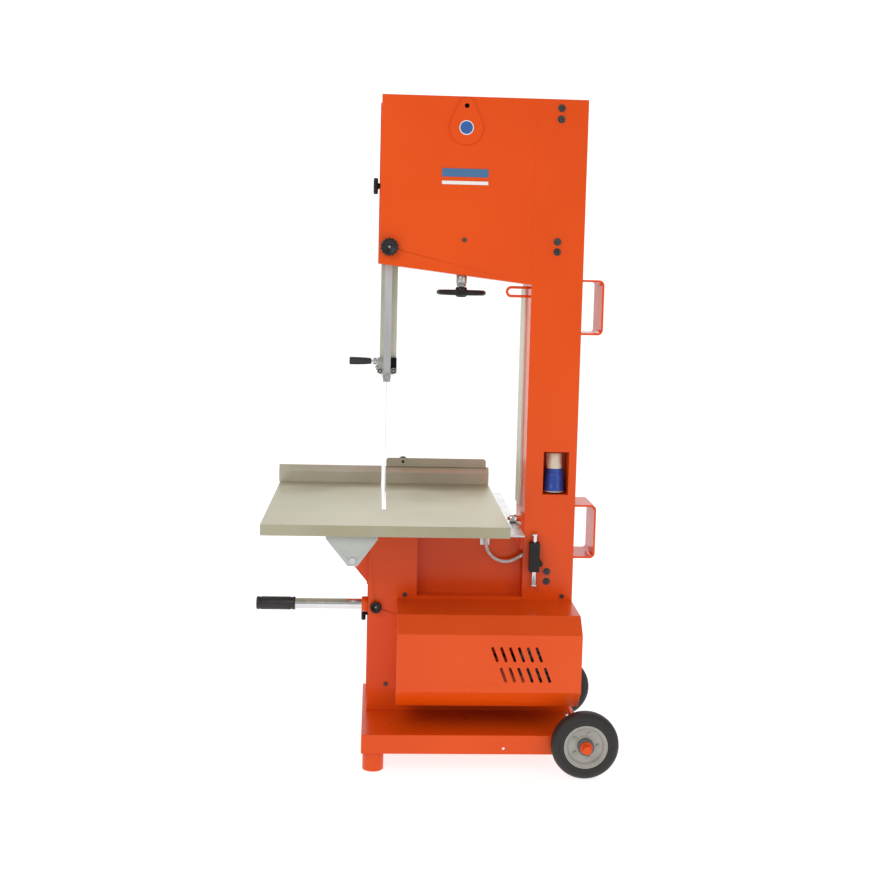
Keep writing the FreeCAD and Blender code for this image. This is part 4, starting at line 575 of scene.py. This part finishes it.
wheel_hub = turned("handwheel_hub", hub_section, "Z", (x, y, wheel_z), black_plastic)
join_in(wheel_hub, "tension_wheel", "black_plastic")
spoke_count, spoke_start = 5, math.radians(20)
spoke_size, spoke_middle = (0.052, 0.012, 0.007), 0.040
spokes = bmesh.new()
for index in range(spoke_count):
    angle = 2 * math.pi * index / spoke_count + spoke_start
    spoke = bmesh.ops.create_cube(spokes, size=1.0)["verts"]
    bmesh.ops.scale(spokes, vec=spoke_size, verts=spoke)
    for vert in spoke:
        if vert.co.x < 0:       # thicker and wider towards the hub
            vert.co.y *= 1.35
            vert.co.z *= 1.5
        vert.co.x += spoke_middle
    bmesh.ops.rotate(spokes, cent=(0, 0, 0), matrix=Matrix.Rotation(angle, 3, "Z"), verts=spoke)
bmesh.ops.bevel(spokes, geom=spokes.edges[:], offset=0.0018, segments=2, affect="EDGES")
spoke_mesh = bpy.data.meshes.new("handwheel_spokes")
spokes.to_mesh(spoke_mesh)
spokes.free()
wheel_spokes = placed("handwheel_spokes", spoke_mesh, "Z", (x, y, wheel_z), black_plastic)
join_in(wheel_spokes, "tension_wheel", "black_plastic")
finger_ribs = grown("handwheel_ribs", studs_tree("finger_ribs", black_plastic),
                    {"Count": 36, "Reach": ring_reach + 0.0066, "Radius": 0.0012, "Length": 0.0075,
                     "Sides": 10}, "Z", (x, y, wheel_z), black_plastic)
join_in(finger_ribs, "tension_wheel", "black_plastic")
screw_section = [(0, wheel_z + 0.0150), (0.0076, wheel_z + 0.0150)]
thread_pitch, thread_z = 0.003, wheel_z + 0.020
while thread_z < screw_high[2] - 0.004:
    screw_section += [(0.0079, thread_z), (0.0070, thread_z + 0.0015)]
    thread_z += thread_pitch
screw_section += [(0.0065, screw_high[2]), (0, screw_high[2])]
tension_thread = turned("tension_thread", screw_section, "Z", (x, y, 0), steel, steps=32)
join_in(tension_thread, "tension_wheel", "bright_steel")
nut_low = wheel_z + 0.0180
nut_section = [(0.0079, nut_low), (0.0125, nut_low), (0.0140, nut_low + 0.001), (0.0140, nut_low + 0.0062),
               (0.0125, nut_low + 0.0075), (0.0079, nut_low + 0.0075)]
lock_nut = turned("tension_nut", nut_section, "Z", (x, y, 0), plated, closed=True, steps=6)
join_in(lock_nut, "tension_wheel", "bright_steel")

# --- blade guide ----------------------------------------------------------------------------------
# Plated cheeks clamp the square post; knurled nuts hold the two side rollers and the back roller.
# The right cheek is a black block, and a short lever with a black grip locks the rollers.


def within(tree, coordinates, axis, low, high):
    """1 where the coordinate along an axis lies between low and high, else 0."""
    split = tree.nodes.new("ShaderNodeSeparateXYZ")
    tree.links.new(coordinates, split.inputs[0])
    above = tree.nodes.new("ShaderNodeMath")
    above.operation = "GREATER_THAN"
    above.inputs[1].default_value = low
    below = tree.nodes.new("ShaderNodeMath")
    below.operation = "LESS_THAN"
    below.inputs[1].default_value = high
    both = tree.nodes.new("ShaderNodeMath")
    both.operation = "MULTIPLY"
    tree.links.new(split.outputs[axis], above.inputs[0])
    tree.links.new(split.outputs[axis], below.inputs[0])
    tree.links.new(above.outputs[0], both.inputs[0])
    tree.links.new(below.outputs[0], both.inputs[1])
    return both.outputs[0]


def times(tree, first, second):
    both = tree.nodes.new("ShaderNodeMath")
    both.operation = "MULTIPLY"
    tree.links.new(first, both.inputs[0])
    tree.links.new(second, both.inputs[1])
    return both.outputs[0]


def overlay(tree, shader, mask, colour, socket="Base Color"):
    """Lays a second colour over what already feeds the shader's socket, where the mask is 1."""
    mix = tree.nodes.new("ShaderNodeMix")
    mix.data_type = "RGBA"
    tree.links.new(shader.inputs[socket].links[0].from_socket, mix.inputs["A"])
    mix.inputs["B"].default_value = (*colour, 1)
    tree.links.new(mask, mix.inputs["Factor"])
    tree.links.new(mix.outputs["Result"], shader.inputs[socket])


post_low, post_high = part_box("guide_post")
bracket_steel = mixed("bracket_steel", (0.40, 0.39, 0.36), (0.60, 0.58, 0.54), (0.16, 0.3), 40, 500, 0.0001,
                      metallic=0.9)
bracket_tree = bracket_steel.node_tree
bracket_shader = bracket_tree.nodes["Principled BSDF"]
bracket_place = bracket_tree.nodes.new("ShaderNodeTexCoord").outputs["Object"]
right_cheek = times(bracket_tree, within(bracket_tree, bracket_place, "X", post_high[0] + 0.0002, 1),
                    within(bracket_tree, bracket_place, "Y", post_low[1] + 0.0029, post_high[1] + 0.0001))
overlay(bracket_tree, bracket_shader, right_cheek, (0.014, 0.014, 0.015))
wear(nodes["guide_bracket"], bracket_steel)
soften("guide_bracket", 0.0006)

knurls = studs_tree("knurls", plated)


def knurled_nut(name, axis, centre, radius, length, count):
    """A turned nut with a stud end in its face and fine knurls round its edge."""
    half = length / 2
    section = [(0, -half - 0.002), (radius * 0.32, -half - 0.002), (radius * 0.40, -half - 0.0012),
               (radius * 0.40, -half), (radius * 0.72, -half), (radius * 0.95, -half + 0.0012),
               (radius * 0.95, half - 0.0012), (radius * 0.8, half), (0, half)]
    nut = turned(name, section, axis, centre, plated, steps=48)
    join_in(nut, "guide", "bright_steel")
    ridges = grown(name + "_knurls", knurls,
                   {"Count": count, "Reach": radius * 0.955, "Radius": radius * 0.05,
                    "Length": length * 0.72, "Sides": 6}, axis, centre, plated)
    join_in(ridges, "guide", "bright_steel")


cheek_low, cheek_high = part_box("guide_bracket")
front_y = post_low[1]
_, _, thrust_z = middle_of("thrust_roller")
_, _, side_z = middle_of("left_roller")
knurled_nut("left_face_nut", "Y", (cheek_low[0] + 0.009, front_y - 0.0035, side_z), 0.0088, 0.007, 22)
knurled_nut("right_face_nut", "Y", (cheek_high[0] - 0.009, front_y - 0.0035, side_z), 0.0088, 0.007, 22)
knurled_nut("thrust_nut", "Y", (middle_of("guide_post")[0], front_y - 0.0030, thrust_z), 0.0118, 0.0058, 30)
lever_low, lever_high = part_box("guide_handle")
_, lever_y, lever_z = middle_of("guide_handle")
knurled_nut("upper_side_nut", "X", (cheek_low[0] - 0.0022, lever_y + 0.004, lever_z - 0.019),
            0.0078, 0.005, 18)
grip_end = lever_low[0] + 0.066
lever_grip_section = [(0, lever_low[0]), (0.0095, lever_low[0]), (0.0113, lever_low[0] + 0.0018),
                      (0.0115, lever_low[0] + 0.006), (0.0113, lever_low[0] + 0.030),
                      (0.0104, grip_end - 0.018), (0.0092, grip_end - 0.004), (0.0080, grip_end),
                      (0, grip_end)]
lever_grip = turned("lever_grip", lever_grip_section, "X", (0, lever_y, lever_z), grip_black, steps=64)
join_in(lever_grip, "guide_lever", "black_plastic", "guide_handle")
lever_section = [(0, grip_end - 0.001), (0.0049, grip_end - 0.001), (0.0049, grip_end + 0.005),
                 (0.0098, grip_end + 0.0058), (0.0098, grip_end + 0.0150), (0.0080, grip_end + 0.0165),
                 (0.0049, grip_end + 0.0170), (0.0049, lever_high[0]), (0, lever_high[0])]
lever_stem = turned("lever_stem", lever_section, "X", (0, lever_y, lever_z), plated, steps=48)
join_in(lever_stem, "guide_lever", "bright_steel")
lever_knurls = grown("lever_knurls", knurls,
                     {"Count": 26, "Reach": 0.0098, "Radius": 0.0005, "Length": 0.008, "Sides": 6},
                     "X", (grip_end + 0.0104, lever_y, lever_z), plated)
join_in(lever_knurls, "guide_lever", "bright_steel")

# --- power inlet ----------------------------------------------------------------------------------
# A cream plastic neck is screwed into the pocket; the blue socket ring below it points down.
# Three brass pins stand inside the ring, and a pale seal closes its lower edge.
cream = mixed("cream_plastic", (0.62, 0.56, 0.42), (0.74, 0.69, 0.56), (0.28, 0.4), 20, 400, 0.0002)
blue = mixed("blue_plastic", (0.012, 0.045, 0.30), (0.022, 0.075, 0.40), (0.25, 0.38), 20, 400, 0.0002)
brass = mixed("brass", (0.50, 0.36, 0.14), (0.66, 0.50, 0.22), (0.22, 0.34), 40, 500, 0.0001, metallic=1.0)
collar_low, collar_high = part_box("inlet_collar")
x, y, _ = middle_of("inlet_collar")
low_z, top_z = collar_low[2], collar_high[2]
collar_section = [(0.0285, low_z + 0.003), (0.0285, top_z - 0.014), (0, top_z - 0.014), (0, top_z),
                  (0.0235, top_z), (0.0262, top_z - 0.002), (0.0268, top_z - 0.014),
                  (0.0290, top_z - 0.022), (0.0295, top_z - 0.030), (0.0300, low_z + 0.020),
                  (0.0322, low_z + 0.016), (0.0324, low_z + 0.006), (0.0318, low_z + 0.003)]
collar = turned("socket_ring", collar_section, "Z", (x, y, 0), blue, closed=True)
join_in(collar, "frame", "blue_plastic", "inlet_collar")
seal_section = [(0.0286, low_z), (0.0316, low_z), (0.0321, low_z + 0.0015), (0.0318, low_z + 0.003),
                (0.0286, low_z + 0.003)]
seal = turned("socket_seal", seal_section, "Z", (x, y, 0), cream, closed=True)
join_in(seal, "frame", "cream_plastic")
socket_pins = grown("socket_pins", studs_tree("socket_pins", brass),
                    {"Count": 3, "Reach": 0.014, "Radius": 0.0034, "Length": 0.032, "Sides": 24}, "Z",
                    (x, y, top_z - 0.030), brass)
join_in(socket_pins, "frame", "blue_plastic")
neck_low, neck_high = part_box("inlet_body")
neck_section = [(0, neck_low[2]), (0.0236, neck_low[2]), (0.0238, neck_low[2] + 0.012),
                (0.0214, neck_low[2] + 0.016), (0.0208, neck_high[2] - 0.006),
                (0.0190, neck_high[2] - 0.001), (0.0170, neck_high[2]), (0, neck_high[2])]
neck = turned("inlet_neck", neck_section, "Z", (x, y, 0), cream)
join_in(neck, "frame", "cream_plastic", "inlet_body")
flange = bmesh.new()
bmesh.ops.create_cube(flange, size=1.0)
flange_size = (0.046, neck_high[1] - y, neck_high[2] - neck_low[2] - 0.004)
bmesh.ops.scale(flange, vec=flange_size, verts=flange.verts)
bmesh.ops.bevel(flange, geom=flange.edges[:], offset=0.0016, segments=3, affect="EDGES")
flange_mesh = bpy.data.meshes.new("inlet_flange")
flange.to_mesh(flange_mesh)
flange.free()
back_plate = placed("inlet_flange", flange_mesh, "Z",
                    (x, (neck_high[1] + y) / 2, (neck_low[2] + neck_high[2]) / 2), cream)
join_in(back_plate, "frame", "cream_plastic")

# --- blank plates, screws and switch --------------------------------------------------------------
# The head carries a round blue disc with a pale edge, a slate blue strip and a thin white one, all blank.
# The screws are dark steel, paler where they meet the sheet; the buttons are moulded plastic.
plate_paint = mixed("plate_enamel", (0.78, 0.78, 0.76), (0.86, 0.86, 0.84), (0.3, 0.4), 12, 400, 0.0001)
plate_tree = plate_paint.node_tree
plate_shader = plate_tree.nodes["Principled BSDF"]
plate_place = plate_tree.nodes.new("ShaderNodeTexCoord").outputs["Object"]
plates_low, plates_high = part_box("name_plates")
plate_x, disc_z = middle_of("lifting_plate")[0], plates_high[2] - 0.021
slate = within(plate_tree, plate_place, "Z", plates_low[2] + 0.0215, plates_low[2] + 0.0465)
overlay(plate_tree, plate_shader, slate, (0.055, 0.16, 0.32))
offset = plate_tree.nodes.new("ShaderNodeVectorMath")
offset.operation = "SUBTRACT"
offset.inputs[1].default_value = (plate_x, 0, disc_z)
plate_tree.links.new(plate_place, offset.inputs[0])
flatten = plate_tree.nodes.new("ShaderNodeVectorMath")
flatten.operation = "MULTIPLY"
flatten.inputs[1].default_value = (1, 0, 1)
plate_tree.links.new(offset.outputs[0], flatten.inputs[0])
away = plate_tree.nodes.new("ShaderNodeVectorMath")
away.operation = "LENGTH"
plate_tree.links.new(flatten.outputs[0], away.inputs[0])
inside_disc = plate_tree.nodes.new("ShaderNodeMath")
inside_disc.operation = "LESS_THAN"
inside_disc.inputs[1].default_value = 0.0185
plate_tree.links.new(away.outputs["Value"], inside_disc.inputs[0])
overlay(plate_tree, plate_shader, inside_disc.outputs[0], (0.03, 0.11, 0.36))
wear(nodes["name_plates"], plate_paint)
soften("name_plates", 0.0004)

screw_steel = mixed("screw_steel", (0.05, 0.05, 0.052), (0.10, 0.10, 0.105), (0.3, 0.45), 30, 500, 0.0002,
                    metallic=0.6)
screw_tree = screw_steel.node_tree
screw_place = screw_tree.nodes.new("ShaderNodeTexCoord").outputs["Object"]
screws_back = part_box("casing_screws")[1][1]
overlay(screw_tree, screw_tree.nodes["Principled BSDF"],
        within(screw_tree, screw_place, "Y", screws_back - 0.0019, 1), (0.46, 0.44, 0.40))
wear(nodes["casing_screws"], screw_steel)
soften("casing_screws", 0.0005)

green = mixed("green_plastic", (0.01, 0.22, 0.05), (0.02, 0.30, 0.08), (0.28, 0.38), 20, 400, 0.0002)
red = mixed("red_plastic", (0.42, 0.010, 0.008), (0.52, 0.018, 0.014), (0.28, 0.38), 20, 400, 0.0002)
for name, material in (("start_button", green), ("stop_button", red), ("switch_box", black_plastic)):
    wear(nodes[name], material)
    soften(name, 0.0012)
